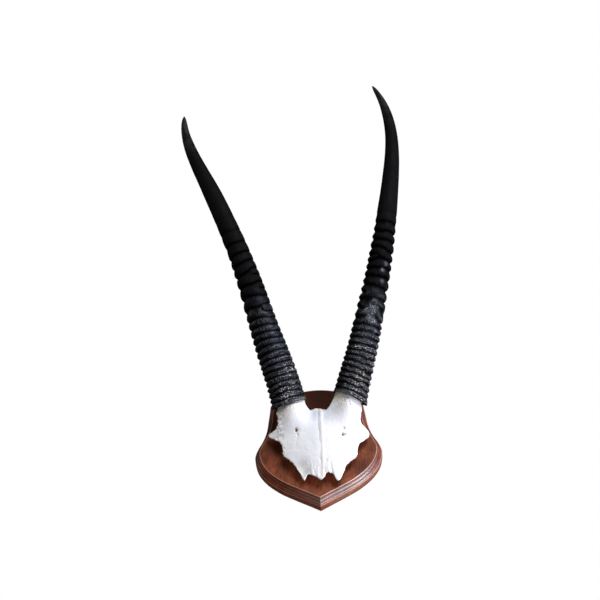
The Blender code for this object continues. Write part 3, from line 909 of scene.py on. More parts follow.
    def build(self, material: bpy.types.Material) -> bpy.types.Object:
        """Build the sheath as one closed surface: hollow, lip, ringed outside and tip."""
        outside, masks = self.outside()
        hollow = self.hollow(outside[0])
        deepest = self.rim_centre() + self.hollow_top * self.rim_normal()
        tip = self.axis(np.array([1.0]))[0]
        surface = Surface(deepest, np.vstack([hollow, outside]), tip)
        mesh = surface.mesh(self.name)
        for name, values in masks.items():
            inside = np.repeat(values[:1], len(hollow), axis=0)
            if name in ("crest", "lip"):
                inside = inside * 0
            whole = np.concatenate([inside, values])
            whole = whole.reshape(-1, 3) if whole.ndim == 3 else whole.ravel()
            set_attribute(mesh, name, np.concatenate([whole[:1], whole, whole[-1:]]))
        return add_piece(self.name, mesh, material, Slot.HORN, self.node)


@dataclass(frozen=True)
class Mark:
    """A line worn or cracked in the bone: its path, width and depth, negative where it stands proud."""

    path: Pairs
    width: float
    depth: float
    dark: float


@dataclass
class SkullPlate:
    """The bleached frontal bone with its braincase and pedicles, as one bone.

    Each dent is a place, a width and a depth, and each hole a place, a radius and how dark it is.
    """

    horns: tuple[HornSheath, ...]
    middle: float = 0.0027
    bone: float = 0.0045
    edge_bone: float = 0.0032
    nose: tuple[float, float] = (0.037, 0.028)
    brow: tuple[float, float] = (0.058, 0.115)
    side_fall: tuple[float, float] = (0.0235, 0.078)
    horn_rise: tuple[float, float] = (0.026, 0.026)
    horn_rise_heights: tuple[float, float] = (0.105, 0.160)
    centre: tuple[float, float] = (0.0, 0.105)
    braincase_height: float = 0.122
    braincase_radii: Place = (0.049, 0.031, 0.055)
    pedicle_shift: float = 0.0035
    core_top: float = 0.0153
    edge_roughness: tuple[float, float] = (0.0007, 0.0004)
    suture_depth: float = 0.0006
    hole_depth: float = 0.0030
    fray_depth: float = 0.00035
    knob_height: float = 0.0010
    pore_depth: float = 0.0007
    spoke_rows: int = 71
    columns: int = 96
    rounds: int = 3
    seam_rounds: int = 24
    voxel: float = 0.00085
    dents: tuple[tuple[float, float, float, float], ...] = (
        (-0.0290, 0.0570, 0.0100, 0.0024), (-0.0245, 0.0450, 0.0070, 0.0026),
        (-0.0200, 0.1470, 0.0120, 0.0016), (0.0215, 0.1470, 0.0110, 0.0012),
        (0.0420, 0.0760, 0.0130, 0.0007),
    )
    pedicle_profile: Pairs = tenths(
        (-270, 165), (-180, 185), (-90, 208), (-30, 222), (0, 224), (40, 214), (80, 190), (120, 150),
        (145, 85),
    )
    outline: Pairs = tenths(
        (-74, 1537), (-34, 1548), (28, 1548), (58, 1535), (95, 1503), (125, 1513), (165, 1550),
        (205, 1610), (268, 1720), (350, 1880), (640, 1880), (703, 1560), (689, 1452), (672, 1370),
        (669, 1320), (688, 1288), (730, 1257), (772, 1223), (787, 1188), (786, 1154), (772, 1114),
        (733, 1074), (700, 1028), (654, 988), (630, 956), (605, 908), (591, 857), (582, 777), (564, 727),
        (533, 690), (479, 642), (433, 597), (393, 539), (368, 476), (335, 404), (303, 336), (277, 303),
        (250, 301), (223, 334), (204, 379), (188, 409), (148, 415), (112, 427), (83, 415), (66, 370),
        (35, 333), (6, 317), (-23, 328), (-58, 354), (-101, 381), (-143, 409), (-179, 422), (-202, 418),
        (-217, 390), (-234, 354), (-254, 322), (-277, 370), (-304, 437), (-339, 497), (-374, 565),
        (-409, 618), (-430, 661), (-441, 683), (-449, 660), (-462, 688), (-481, 713), (-510, 742),
        (-540, 770), (-562, 801), (-568, 849), (-571, 923), (-580, 984), (-602, 1027), (-640, 1078),
        (-679, 1111), (-717, 1155), (-764, 1198), (-789, 1236), (-791, 1267), (-763, 1280), (-723, 1283),
        (-682, 1296), (-651, 1322), (-642, 1360), (-645, 1406), (-635, 1436), (-642, 1473), (-658, 1520),
        (-640, 1590), (-620, 1880), (-300, 1880), (-212, 1680), (-185, 1612), (-153, 1555), (-114, 1510),
    )
    suture: Pairs = tenths(
        (20, 1545), (9, 1428), (3, 1328), (8, 1208), (14, 1089), (19, 942), (20, 806), (17, 661),
        (14, 533), (12, 405), (11, 300),
    )
    marks: tuple[Mark, ...] = (
        Mark(tenths((-222, 345), (-205, 410), (-191, 458), (-165, 534)), 0.0011, 0.0007, 0.30),
        Mark(tenths((-154, 395), (-162, 478), (-150, 560)), 0.0009, 0.0006, 0.35),
        Mark(tenths((-70, 370), (-104, 495), (-115, 620)), 0.0010, 0.0006, 0.30),
        Mark(tenths((78, 415), (67, 483), (70, 547)), 0.0010, 0.0006, 0.35),
        Mark(tenths((186, 400), (174, 515), (168, 590)), 0.0012, 0.0010, 0.60),
        Mark(tenths((111, 590), (105, 635)), 0.0010, 0.0006, 0.45),
        Mark(tenths((-341, 1138), (-328, 1049), (-346, 963), (-361, 863)), 0.0022, 0.0007, 0.12),
        Mark(tenths((-120, 390), (-128, 520), (-140, 640)), 0.0016, -0.0006, 0.0),
        Mark(tenths((130, 420), (120, 530), (125, 640)), 0.0018, -0.0006, 0.0),
        Mark(tenths((-30, 340), (-35, 480), (-28, 620)), 0.0018, -0.0005, 0.0),
    )
    holes: tuple[tuple[float, float, float, float], ...] = (
        (-0.0352, 0.1160, 0.0022, 1.0), (-0.0332, 0.1080, 0.0013, 0.45), (0.0374, 0.1054, 0.0020, 0.9),
        (0.0411, 0.1068, 0.0012, 0.6), (0.0397, 0.1157, 0.0019, 0.35), (0.0432, 0.1565, 0.0013, 0.55),
        (0.0391, 0.1569, 0.0011, 0.45), (0.0515, 0.1497, 0.0014, 0.45), (0.0481, 0.1600, 0.0012, 0.45),
        (0.0500, 0.1530, 0.0010, 0.40),
    )

    def front_depth(self, x: Array, height: Array) -> Array:
        """Work out how far the bone's front is from the wall.

        It rises from the nose end to the brow, falls off with the square of the distance from the
        middle, and rises again under each horn as a bell curve.
        """
        nose_depth, nose_height = self.nose
        brow_depth, brow_height = self.brow
        fall, reach = self.side_fall
        rise, width = self.horn_rise
        depth = nose_depth + (brow_depth - nose_depth) * ease(height, nose_height - 0.02, brow_height)
        depth = depth - fall * (x / reach) ** 2
        for horn in self.horns:
            away = x - (horn.base[0] - self.middle)
            depth = depth + rise * ease(height, *self.horn_rise_heights) * bell(away, width)
        return depth

    def place(self, x: Array, height: Array, depth: Array) -> Array:
        """Turn across, height and depth into a place in the frame."""
        return np.stack([x + self.middle, -depth, height - TIP_DROP], axis=-1)

    def plate(self) -> Surface:
        """Work out the curved plate: spokes from its centre to the broken outline, front then back."""
        edge = rounded_through(np.array(self.outline), 8, closed=True)
        noise = SoftNoise(11)
        rough = noise(np.column_stack([edge / 0.0024, np.zeros(len(edge))]))
        finer = noise(np.column_stack([edge / 0.0011, np.ones(len(edge))]))
        spokes = edge - self.centre
        reach = np.linalg.norm(spokes, axis=1)[:, None]
        broad, small = self.edge_roughness
        spokes = spokes * (1 + (broad * rough + small * finer)[:, None] / reach)
        shares = np.linspace(0, 1, self.spoke_rows + 1)[1:]
        flat = np.array(self.centre) + shares[:, None, None] * spokes[None]
        depth = self.front_depth(flat[..., 0], flat[..., 1])
        thick = self.bone + (self.edge_bone - self.bone) * shares[:, None] ** 6
        front = self.tucked(self.place(flat[..., 0], flat[..., 1], depth))
        back = self.tucked(self.place(flat[..., 0], flat[..., 1], depth - thick))
        centre_depth = self.front_depth(*(np.array(value) for value in self.centre))
        start = self.place(self.centre[0], self.centre[1], centre_depth)
        end = self.place(self.centre[0], self.centre[1], centre_depth - self.bone)
        return Surface(start, np.vstack([front, back[::-1]]), end)

    def rim_frame(self, horn: HornSheath, points: Array) -> tuple[Array, Array, Array]:
        """Split places into height over a horn's rim, flat offset from its centre and angle round it."""
        normal = horn.rim_normal()
        away = points - horn.rim_centre()
        height = away @ normal
        flat = away - height[..., None] * normal
        outer, forward = horn.across(np.zeros(1))
        angle = np.arctan2(flat @ forward[0], flat @ outer[0])
        return height, flat, angle

    def tucked(self, points: Array) -> Array:
        """Keep the plate under the horns: what would pass a rim is drawn into the pedicle's top."""
        reach, top, inside = 0.042, -0.0009, 0.018
        for horn in self.horns:
            height, flat, angle = self.rim_frame(horn, points)
            limit = horn.arch(angle) + top
            away = np.linalg.norm(flat, axis=-1)
            over = (height > limit) & (away < reach)
            shrink = np.minimum(1, inside / np.maximum(away, 1e-6))[..., None]
            drawn = horn.rim_centre() + flat * shrink + limit[..., None] * horn.rim_normal()
            points = np.where(over[..., None], drawn, points)
        return points

    def braincase(self) -> Surface:
        """Work out the braincase: half an egg, sawn flat just clear of the shield."""
        across, deep, tall = self.braincase_radii
        slope = np.linspace(0, math.pi / 2, 24)[1:, None]
        turn = np.linspace(0, 2 * math.pi, self.columns, endpoint=False)[None, :]
        x = across * np.sin(slope) * np.cos(turn)
        height = self.braincase_height + tall * np.sin(slope) * np.sin(turn)
        depth = BOARD_DEPTH + GAP + deep * np.cos(slope) * np.ones_like(turn)
        start = self.place(0.0, self.braincase_height, BOARD_DEPTH + GAP + deep)
        end = self.place(0.0, self.braincase_height, BOARD_DEPTH + GAP)
        return Surface(start, self.place(x, height, depth), end)

    def pedicle(self, horn: HornSheath) -> Surface:
        """Work out a pedicle and its core: a profile turned about the horn's rim normal."""
        profile = rounded_through(np.array(self.pedicle_profile), 4)
        normal = horn.rim_normal()
        outer = horn.across(np.zeros(1))[0][0]
        turn = np.linspace(0, 2 * math.pi, self.columns, endpoint=False)
        first = unit(outer - (outer @ normal) * normal)
        second = np.cross(normal, first)
        ring = np.cos(turn)[:, None] * first + np.sin(turn)[:, None] * second
        shift = np.array((-horn.side.value * self.pedicle_shift, 0, 0))
        centre = horn.rim_centre() + shift - (shift @ normal) * normal
        rows = centre + profile[:, None, :1] * normal + profile[:, None, 1:] * ring[None]
        return Surface(centre + profile[0, 0] * normal, rows, centre + self.core_top * normal)

    def fused(self) -> bpy.types.Mesh:
        """Join plate, braincase and pedicles in one skin with a voxel remesh."""
        surfaces = [self.plate(), self.braincase(), *(self.pedicle(horn) for horn in self.horns)]
        thing = add_object("skull_parts", joined_mesh("skull_parts", surfaces))
        remesh = thing.modifiers.new("skin", "REMESH")
        remesh.mode = "VOXEL"
        remesh.voxel_size = self.voxel
        remesh.adaptivity = 0.0
        return settled(thing)

    def soften(self, mesh: bpy.types.Mesh) -> None:
        """Smooth the skin a little everywhere and more where pedicle and plate meet.

        Each round moves a vertex towards the mean of its neighbours by its own weight.
        """
        places = vertex_array(mesh)
        edges = np.empty(len(mesh.edges) * 2, np.int32)
        mesh.edges.foreach_get("vertices", edges)
        ends = np.concatenate([edges.reshape(-1, 2), edges.reshape(-1, 2)[:, ::-1]])
        total = np.bincount(ends[:, 0], minlength=len(places))
        seam = np.zeros(len(places))
        for horn in self.horns:
            height, flat, _ = self.rim_frame(horn, places)
            away = np.linalg.norm(flat, axis=1)
            seam = np.maximum(seam, ease(height, -0.040, -0.030) * ease(-height, 0.0015, 0.005)
                              * ease(-away, -0.044, -0.036))
        for turn in range(self.seam_rounds):
            weight = 0.5 * (seam if turn >= self.rounds else 1)
            mean = np.stack([np.bincount(ends[:, 0], places[ends[:, 1], axis], len(places))
                             for axis in range(3)], axis=1) / total[:, None]
            places = places + (mean - places) * np.broadcast_to(weight, total.shape)[:, None]
        set_places(mesh, places)

    def worn(self, flat: Array, stray: Array, out: Array, hole: Array) -> tuple[Array, Array, Array, Array]:
        """Carve the marks, the nerve holes and the dents.

        Args:
            flat: The points' places, across and up.
            stray: How far the marks stray sideways at each point.
            out: How far each point has been moved out so far.
            hole: How dark each point has been made so far.

        Returns:
            The last two with the marks, holes and dents added, then how stained and how shaded each point is.
        """
        x, height = flat.T
        strayed = flat + np.column_stack([stray, 0 * stray])
        for mark in self.marks:
            distance, share = distance_to_path(strayed, mark.path)
            fade = 1 - 0.8 * share
            out = out - mark.depth * bell(distance, mark.width) * fade
            hole = np.maximum(hole, mark.dark * bell(distance, 0.7 * mark.width) * fade)
        stain = np.zeros(len(flat))
        for hole_x, hole_height, radius, strength in self.holes:
            away = np.hypot(x - hole_x, (height - hole_height) / 1.25)
            out = out - self.hole_depth * strength * np.exp(-((away / radius) ** 4))
            hole = np.maximum(hole, strength * np.exp(-((away / (0.75 * radius)) ** 4)))
            ring = bell(np.hypot(x - hole_x - 0.0012, height - hole_height - 0.0006), radius * 1.9)
            stain = np.maximum(stain, 0.50 * strength * ring * (radius > 0.0016))
        shade = np.zeros(len(flat))
        for dent_x, dent_height, width, deep in self.dents:
            hollow = bell(np.hypot(x - dent_x, height - dent_height), width)
            out = out - deep * hollow
            shade = np.maximum(shade, 260 * deep * hollow)
        return out, hole, stain, shade

    def carve(self, mesh: bpy.types.Mesh) -> None:
        """Carve the front's relief along the normals and store the masks for the finish."""
        places = vertex_array(mesh)
        normals = vertex_array(mesh, "normal")
        x, height = places[:, 0] - self.middle, places[:, 2] + TIP_DROP
        flat = np.column_stack([x, height])
        beyond = -places[:, 1] - self.front_depth(x, height)
        facing = ease(-normals[:, 1], 0.0, 0.35) * ease(beyond, -0.0042, -0.002)
        noise, other = SoftNoise(21), SoftNoise(22)
        sway = 0.0010 * noise(places / 0.009) + 0.0006 * other(places / 0.0035)
        suture, _ = distance_to_path(flat + np.column_stack([sway, 0 * sway]), self.suture)
        beside = x - read_table(tuple(sorted((level, place) for place, level in self.suture)), height)
        upper = ease(height, 0.070, 0.120)
        uneven = 0.35 + 0.65 * noise.layered(places / 0.011, 2) ** 2 * 3
        out = (-self.suture_depth * bell(suture, 0.0008) * uneven
               + upper * (0.0008 * bell(beside - 0.0042, 0.0024) - 0.0005 * bell(beside + 0.0005, 0.0022))
               + 0.0004 * (1 - upper) * bell(beside - 0.0030, 0.0022))
        hole = 0.45 * bell(suture, 0.0006) * ease(other(places / 0.008), -0.5, 0.5)
        out, hole, stain, shade = self.worn(flat, 0.0007 * noise(places / 0.006), out, hole)

        rises = [self.rim_frame(horn, places)[0] for horn in self.horns]
        left_side = ease(-x, 0.044, 0.058) * ease(height, 0.100, 0.114)
        lower_left = ease(-x, 0.040, 0.052) * (1 - ease(height, 0.092, 0.106))
        right_neck = bell(np.hypot(x - 0.0365, height - 0.1570), 0.0125)
        frayed = (1 - ease(height, 0.045, 0.085)) * ease(noise(places / 0.008), -0.6, 0.4)
        porous = np.maximum.reduce([
            *(ease(rise, -reach, -0.002) * ease(other(places / 0.009), -0.6, 0.3)
              for rise, reach in zip(rises, (0.017, 0.019))),
            0.66 * left_side * ease(noise(places / 0.007), -0.4, 0.5),
            0.35 * lower_left,
            0.95 * right_neck * ease(noise(places / 0.006), -0.6, 0.2),
            0.34 * frayed,
        ])
        specks = ease(other(places / (0.0014, 0.0014, 0.0034)), 0.0, 0.45)
        hole = np.maximum(hole, 0.34 * np.maximum(right_neck, 0.55 * left_side) * specks)
        out -= self.fray_depth * frayed * np.abs(noise(places / (0.0012, 0.0012, 0.0100)))
        knobs = np.maximum(left_side, lower_left) * ease(-x, 0.048, 0.060)
        out += self.knob_height * knobs * other(places / (0.0024, 0.0030, 0.0030))
        out -= porous * self.pore_depth * np.maximum(noise(places / (0.0017, 0.0017, 0.0040)), 0)
        out += 0.00025 * noise.layered(places / 0.012, 3) + 0.00010 * other(places / 0.0022)

        # Creamy tints: warm staining along the lower suture, on porous bone and at the notch, and painted
        # shade in the lower-left hollow and on the pedicles next to the horn rims, most on the right one's
        # inner side.
        right_inner = ease(self.horns[1].base[0] - x, 0.0, 0.014)
        cream = np.maximum.reduce([
            0.55 * bell(beside - 0.001, 0.004) * (1 - upper) * (1 - ease(height, 0.040, 0.120)),
            0.35 * ease(-normals[:, 1], 0.75, 0.2) * ease(other(places / 0.01), -0.3, 0.6),
            0.5 * porous * ease(other(places / 0.013), -0.1, 0.5),
            0.70 * bell(x, 0.016) * ease(height, 0.1495, 0.1530),
            0.45 * bell(np.hypot(x + 0.0280, height - 0.0520), 0.0130),
            0.45 * ease(-beyond, 0.003, 0.006),
            0.55 * ease(rises[0], -0.024, -0.004),
            0.72 * right_inner * ease(rises[1], -0.024, -0.004),
        ])
        top = ease(height, 0.118, 0.145)
        shade = np.maximum.reduce([
            0.85 * shade,
            0.30 * upper * bell(beside + 0.0012, 0.0030),
            0.78 * bell(beside + 0.0055, 0.0075) * top,
            0.48 * bell(x - 0.013, 0.0080) * top,
            0.15 * ease(height, 0.130, 0.150) * (1 - ease(-x, 0.046, 0.058)),
            0.13 * bell(beside + 0.0090, 0.0080) * ease(height, 0.060, 0.100),
        ])

        set_places(mesh, places + normals * (out * facing)[:, None])
        shown = np.maximum(facing, right_neck)
        masks = {"shade": shade * shown, "cream": cream, "porous": porous, "stain": stain * shown,
                 "hole": hole * shown}
        for name, values in masks.items():
            set_attribute(mesh, name, np.clip(values, 0, 1))

    def build(self, material: bpy.types.Material) -> bpy.types.Object:
        """Build the skull plate: fused, softened and carved."""
        mesh = self.fused()
        self.soften(mesh)
        self.carve(mesh)
        return add_piece("bleached_skull", mesh, material, Slot.BONE, "skull_plate")


@dataclass
class ShieldBoard:
    """The wooden shield: its outline carries a moulded edge, and its back is cut to hang and to screw.

    The side gives the right half's outline. The profile gives how far in each row is, how deep, and
    its tone: below 0 dark in a groove, above 0 pale, where the edges are worn pale and also carry a
    painted highlight. Most patches are painted shadow on the board and some are darker figure in the
    wood; each is a place, a width and how dark it is.
    """

    side: Pairs = tenths(
        (0, 0), (180, 105), (360, 207), (600, 355), (800, 530), (930, 715), (985, 880), (997, 1020),
        (955, 1160), (872, 1335), (815, 1520), (785, 1750), (765, 1920), (755, 2040),
    )
    profile: Triples = (
        (0.0008, 0.0000, 0.0), (0.0003, 0.0003, 0.0), (0.0000, 0.0008, 0.0), (0.0000, 0.0060, 0.0),
        (0.0000, 0.0108, 0.0), (0.0002, 0.0115, 0.5), (0.0007, 0.0119, 0.6), (0.0012, 0.0120, 0.0),
        (0.0014, 0.0124, -1.0), (0.0015, 0.0132, -0.5), (0.0018, 0.0144, 0.0), (0.0024, 0.0154, 0.0),
        (0.0032, 0.0161, 0.0), (0.0040, 0.0165, -0.5), (0.0044, 0.0168, -1.0), (0.0047, 0.0176, -0.4),
        (0.0050, 0.0187, 0.0), (0.0056, 0.0197, 0.0), (0.0064, 0.0203, 0.0), (0.0071, 0.0205, -0.8),
        (0.0074, 0.0208, -1.0), (0.0075, 0.0218, -0.6), (0.0076, 0.0229, 0.2), (0.0079, 0.0234, 0.9),
        (0.0084, 0.0235, 0.7), (0.0092, 0.0235, 0.0),
    )
    # Patches of painted shadow on the board, with some darker figure in the wood.
    aged: tuple[tuple[float, float, float, float], ...] = (
        (0.0, 0.215, 0.060, 0.96), (0.062, 0.068, 0.016, 0.55), (0.078, 0.098, 0.010, 0.45),
        (-0.067, 0.110, 0.015, 0.90), (-0.052, 0.076, 0.008, 0.60), (0.030, 0.030, 0.010, 0.30),
        (-0.055, 0.045, 0.020, 0.25), (-0.103, 0.105, 0.024, 0.90),
        (-0.081, 0.158, 0.021, 0.95),
    )
    first_step: float = 0.0119
    side_steps: int = 140
    cap_middle: tuple[float, float] = (0.0137, 0.0113)
    cap_shares: tuple[float, ...] = (0.9, 0.75, 0.6, 0.45, 0.3, 0.15)
    keyhole_height: float = 0.196
    keyhole_radius: float = 0.005
    keyhole_slot: float = 0.005
    keyhole_rise: float = 0.014
    keyhole_depth: float = 0.0105
    keyhole_lip: float = 0.004

    def sides(self) -> tuple[Array, Array, Array]:
        """Draw the three smooth sides in the wall's plane: up the right, over the top, down the left."""
        board_height = BOARD_HIGH.z - BOARD_LOW.z
        right = rounded_through(np.array(self.side), 12)
        corner_x, corner_height = self.side[-1]
        rise = board_height - corner_height
        radius = (corner_x**2 + rise**2) / (2 * rise)
        angles = np.linspace(math.asin(corner_x / radius), -math.asin(corner_x / radius), 161)
        arch = np.column_stack([radius * np.sin(angles), board_height - radius * (1 - np.cos(angles))])
        return tuple(side - (0, TIP_DROP) for side in (right, arch, right[::-1] * (-1, 1)))

    def inset(self, distance: float) -> Array:
        """Move the outline inwards by a distance, with mitred corners.

        Each side is moved along its normals n and cut at its corners, which move by the distance
        times 2 (n + n') / |n + n'|^2. Its points are then spaced evenly again.
        """
        sides = self.sides()
        tangents = [unit(np.gradient(side, axis=0)) for side in sides]
        normals = [np.column_stack([-tangent[:, 1], tangent[:, 0]]) for tangent in tangents]
        outline = []
        for index, (side, tangent, normal) in enumerate(zip(sides, tangents, normals)):
            first = normals[index - 1][-1] + normal[0]
            last = normal[-1] + normals[(index + 1) % len(sides)][0]
            start = side[0] + 2 * distance * first / (first @ first)
            end = side[-1] + 2 * distance * last / (last @ last)
            moved = side + distance * normal
            kept = ((moved - start) @ tangent[0] > 0) & ((end - moved) @ tangent[-1] > 0)
            line = np.vstack([start, moved[kept], end])
            walked = np.append(0, np.cumsum(np.linalg.norm(np.diff(line, axis=0), axis=1)))
            even = np.linspace(0, walked[-1], self.side_steps + 1)[:-1]
            outline.append(np.column_stack([np.interp(even, walked, line[:, each]) for each in range(2)]))
        return np.vstack(outline)

    def body(self) -> bpy.types.Mesh:
        """Carry the moulding's profile round the outline and close the front and the back."""
        rows = []
        for inset, depth, _ in self.profile:
            flat = self.inset(inset)
            rows.append(np.column_stack([flat[:, 0], np.full(len(flat), -depth), flat[:, 1]]))
        rows = np.array(rows)
        shares = np.array(self.cap_shares)[:, None, None]
        across, up = self.cap_middle
        back_middle, front_middle = (np.array((across, row[0, 1], up)) for row in rows[[0, -1]])
        back = back_middle + shares[::-1] * (rows[0] - back_middle)
        front = front_middle + shares * (rows[-1] - front_middle)
        mesh = Surface(back_middle, np.vstack([back, rows, front]), front_middle).mesh("carved_shield")
        x, y, z = vertex_array(mesh).T
        plain = [0.0] * len(shares)

        def at_points(values: list[float]) -> Array:
            """Give each point its row's value, and the flat front and back none."""
            return np.concatenate([[0], np.repeat([*plain, *values, *plain], len(rows[0])), [0]])

        # The profile's tone column: dark in the grooves, pale on the edges, partly worn and partly a painted
        # highlight.
        groove_and_edge_tone = at_points([row[2] for row in self.profile])
        edge = [0.3 if depth < self.first_step else 1.0 for _, depth, _ in self.profile[:-1]]
        moulded = at_points(edge + [0.0])
        # Painted shadow, with some darker figure: dark patches on the front only.
        aged = np.zeros(len(x))
        for across, up, width, amount in self.aged:
            away = np.hypot((x - across) / width, (z + TIP_DROP - up) / (1.6 * width))
            aged = np.maximum(aged, amount * bell(away, 1.0))
        # Painted light: the side wall is made paler on the right half, as if lit from there.
        painted_side_light = ease(-y, 0.002, 0.004) * ease(y, -self.first_step, -0.0115) * ease(x, 0.0, 0.03)
        masks = {"gloss": moulded * (0.12 + 0.76 * ease(x, -0.090, 0.020) - 0.28 * ease(x, 0.060, 0.090)),
                 "aged": aged * ease(-y, 0.0002, 0.0010), "stained": 0.80 * np.maximum(-groove_and_edge_tone, 0),
                 "rubbed": 0.42 * np.maximum(groove_and_edge_tone, 0) + 0.16 * painted_side_light}
        for name, values in masks.items():
            set_attribute(mesh, name, values)
        return mesh

    def keyhole(self) -> list[bpy.types.Object]:
        """Make the cutters of the keyhole slot: round entry, narrow throat, wide slot and round end."""
        low = self.keyhole_height - TIP_DROP
        high = low + self.keyhole_rise
        half = self.keyhole_slot / 2
        step = 0.0002
        wide = self.keyhole_radius - step
        floor = self.keyhole_depth - 2 * step
        entry = ((self.keyhole_radius, -0.002), (self.keyhole_radius, self.keyhole_depth))
        end = ((wide - step, self.keyhole_lip + step), (wide - step, floor - step))
        return [
            turned_cutter("keyhole_entry", entry, (0, low)),
            box_cutter("keyhole_throat", (-half, step - floor, low), (half, 0.002, high)),
            box_cutter("keyhole_slot", (-wide, -floor, low), (wide, -self.keyhole_lip, high)),
            turned_cutter("keyhole_end", end, (0, high)),
        ]

    def build(self, material: bpy.types.Material, screws: "tuple[WoodScrew, ...]") -> bpy.types.Object:
        """Build the shield and cut the keyhole and the screws' holes in its back."""
        cutters = self.keyhole() + [screw.hole() for screw in screws]
        mesh = cut_away(add_object("shield_body", self.body()), cutters)
        return add_piece("carved_shield", mesh, material, Slot.SHIELD, "shield_board", 32)


def turned_rows(profile: Pairs, centre: tuple[float, float], columns: int) -> Array:
    """Turn a (radius, depth) profile about an axis that runs out of the wall.

    Args:
        profile: Radii and their depths in front of the wall.
        centre: Where the axis is, across and up.
        columns: Points on each row.

    Returns:
        The rows of points.
    """
    turn = (np.arange(columns) + 0.37) / columns * 2 * math.pi
    radius, depth = np.array(profile).T[:, :, None]
    x = centre[0] + radius * np.cos(turn)
    z = centre[1] + radius * np.sin(turn)
    return np.stack([x, -depth * np.ones_like(x), z], axis=-1)


def turned_cutter(name: str, profile: Pairs, centre: tuple[float, float]) -> bpy.types.Object:
    """Make a round cutter from its profile."""
    return add_object(name, Surface.capped(turned_rows(profile, centre, 40)).mesh(name))


def box_cutter(name: str, low: Place, high: Place) -> bpy.types.Object:
    """Make a box-shaped cutter between two corners."""
    corners = ((low[0], low[2]), (high[0], low[2]), (high[0], high[2]), (low[0], high[2]))
    rows = np.array([[(x, y, z) for x, z in corners] for y in (low[1], high[1])])
    return add_object(name, Surface.capped(rows).mesh(name))


@dataclass
class WoodScrew:
    """A countersunk wood screw with a cross recess and a thread, driven in from the shield's back.

    The recess's arms are shares of the head's radius.
    """

    name: str
    node: str
    height: float
    middle: float = 0.0027
    head: float = 0.0042
    shank: float = 0.0021
    core: float = 0.0015
    length: float = 0.040
    sunk: float = 0.0005
    head_edge: float = 0.0006
    point: float = 0.005
    pitch: float = 0.0018
    thread_start: float = 0.014
    thread_rows: int = 150
    columns: int = 48
    recess: float = 0.0016
    arm_share: float = 0.55
    arm_width: float = 0.13

    def centre(self) -> tuple[float, float]:
        """Find the screw's axis, across and up."""
        return self.middle, self.height - TIP_DROP

    def hole(self) -> bpy.types.Object:
        """Make the cutter of the screw's hole, a little wider than the screw."""
        edge = self.sunk + self.head_edge
        head, shank = self.head + GAP, self.shank + GAP
        profile = ((head, -0.002), (head, edge), (shank, edge + head - shank), (shank, self.length))
        return turned_cutter(f"{self.name}_hole", profile, self.centre())

    def build(self, material: bpy.types.Material) -> bpy.types.Object:
        """Build the screw: head and shank turned from a profile, and a thread that winds as it goes in.

        The thread's radius is the core plus a ridge where the turn, taken from the depth over the
        pitch less the angle, is near a half.
        """
        edge = self.sunk + self.head_edge
        neck = edge + self.head - self.shank
        arm, wide, deep = self.head * self.arm_share, self.head * self.arm_width, self.sunk + self.recess
        head = ((arm, self.sunk + 0.00002), (self.head * 0.97, self.sunk + 0.00003),
                (self.head, self.sunk + 0.0001), (self.head, edge), (self.shank, neck),
                (self.shank, self.thread_start))
        turned = turned_rows(head, self.centre(), self.columns)
        depth = np.linspace(self.thread_start + 0.0002, self.length - 0.0002, self.thread_rows)[:, None]
        turn = (np.arange(self.columns) / self.columns)[None, :]
        ridge = 1 - np.abs((depth / self.pitch - turn) % 1 - 0.5) * 4
        radius = self.core + (self.shank - self.core) * np.clip(ridge, 0, 1)
        radius = radius * np.clip((self.length - depth) / self.point, 0.02, 1)
        across, up = self.centre()
        thread = np.stack([across + radius * np.cos(turn * 2 * math.pi), -depth * np.ones_like(radius),
                           up + radius * np.sin(turn * 2 * math.pi)], axis=-1)
        start = np.array((across, -self.sunk, up))
        surface = Surface(start, np.vstack([turned, thread]), np.array((across, -self.length, up)))
        screw = add_object(f"{self.name}_body", surface.mesh(self.name))
        arms = [box_cutter("arm", (across - arm, -deep, up - wide), (across + arm, 0.001, up + wide)),
                box_cutter("arm", (across - wide, -deep - 0.0001, up - arm),
                           (across + wide, 0.0012, up + arm))]
        return add_piece(self.name, cut_away(screw, arms), material, Slot.SCREWS, self.node, 30)


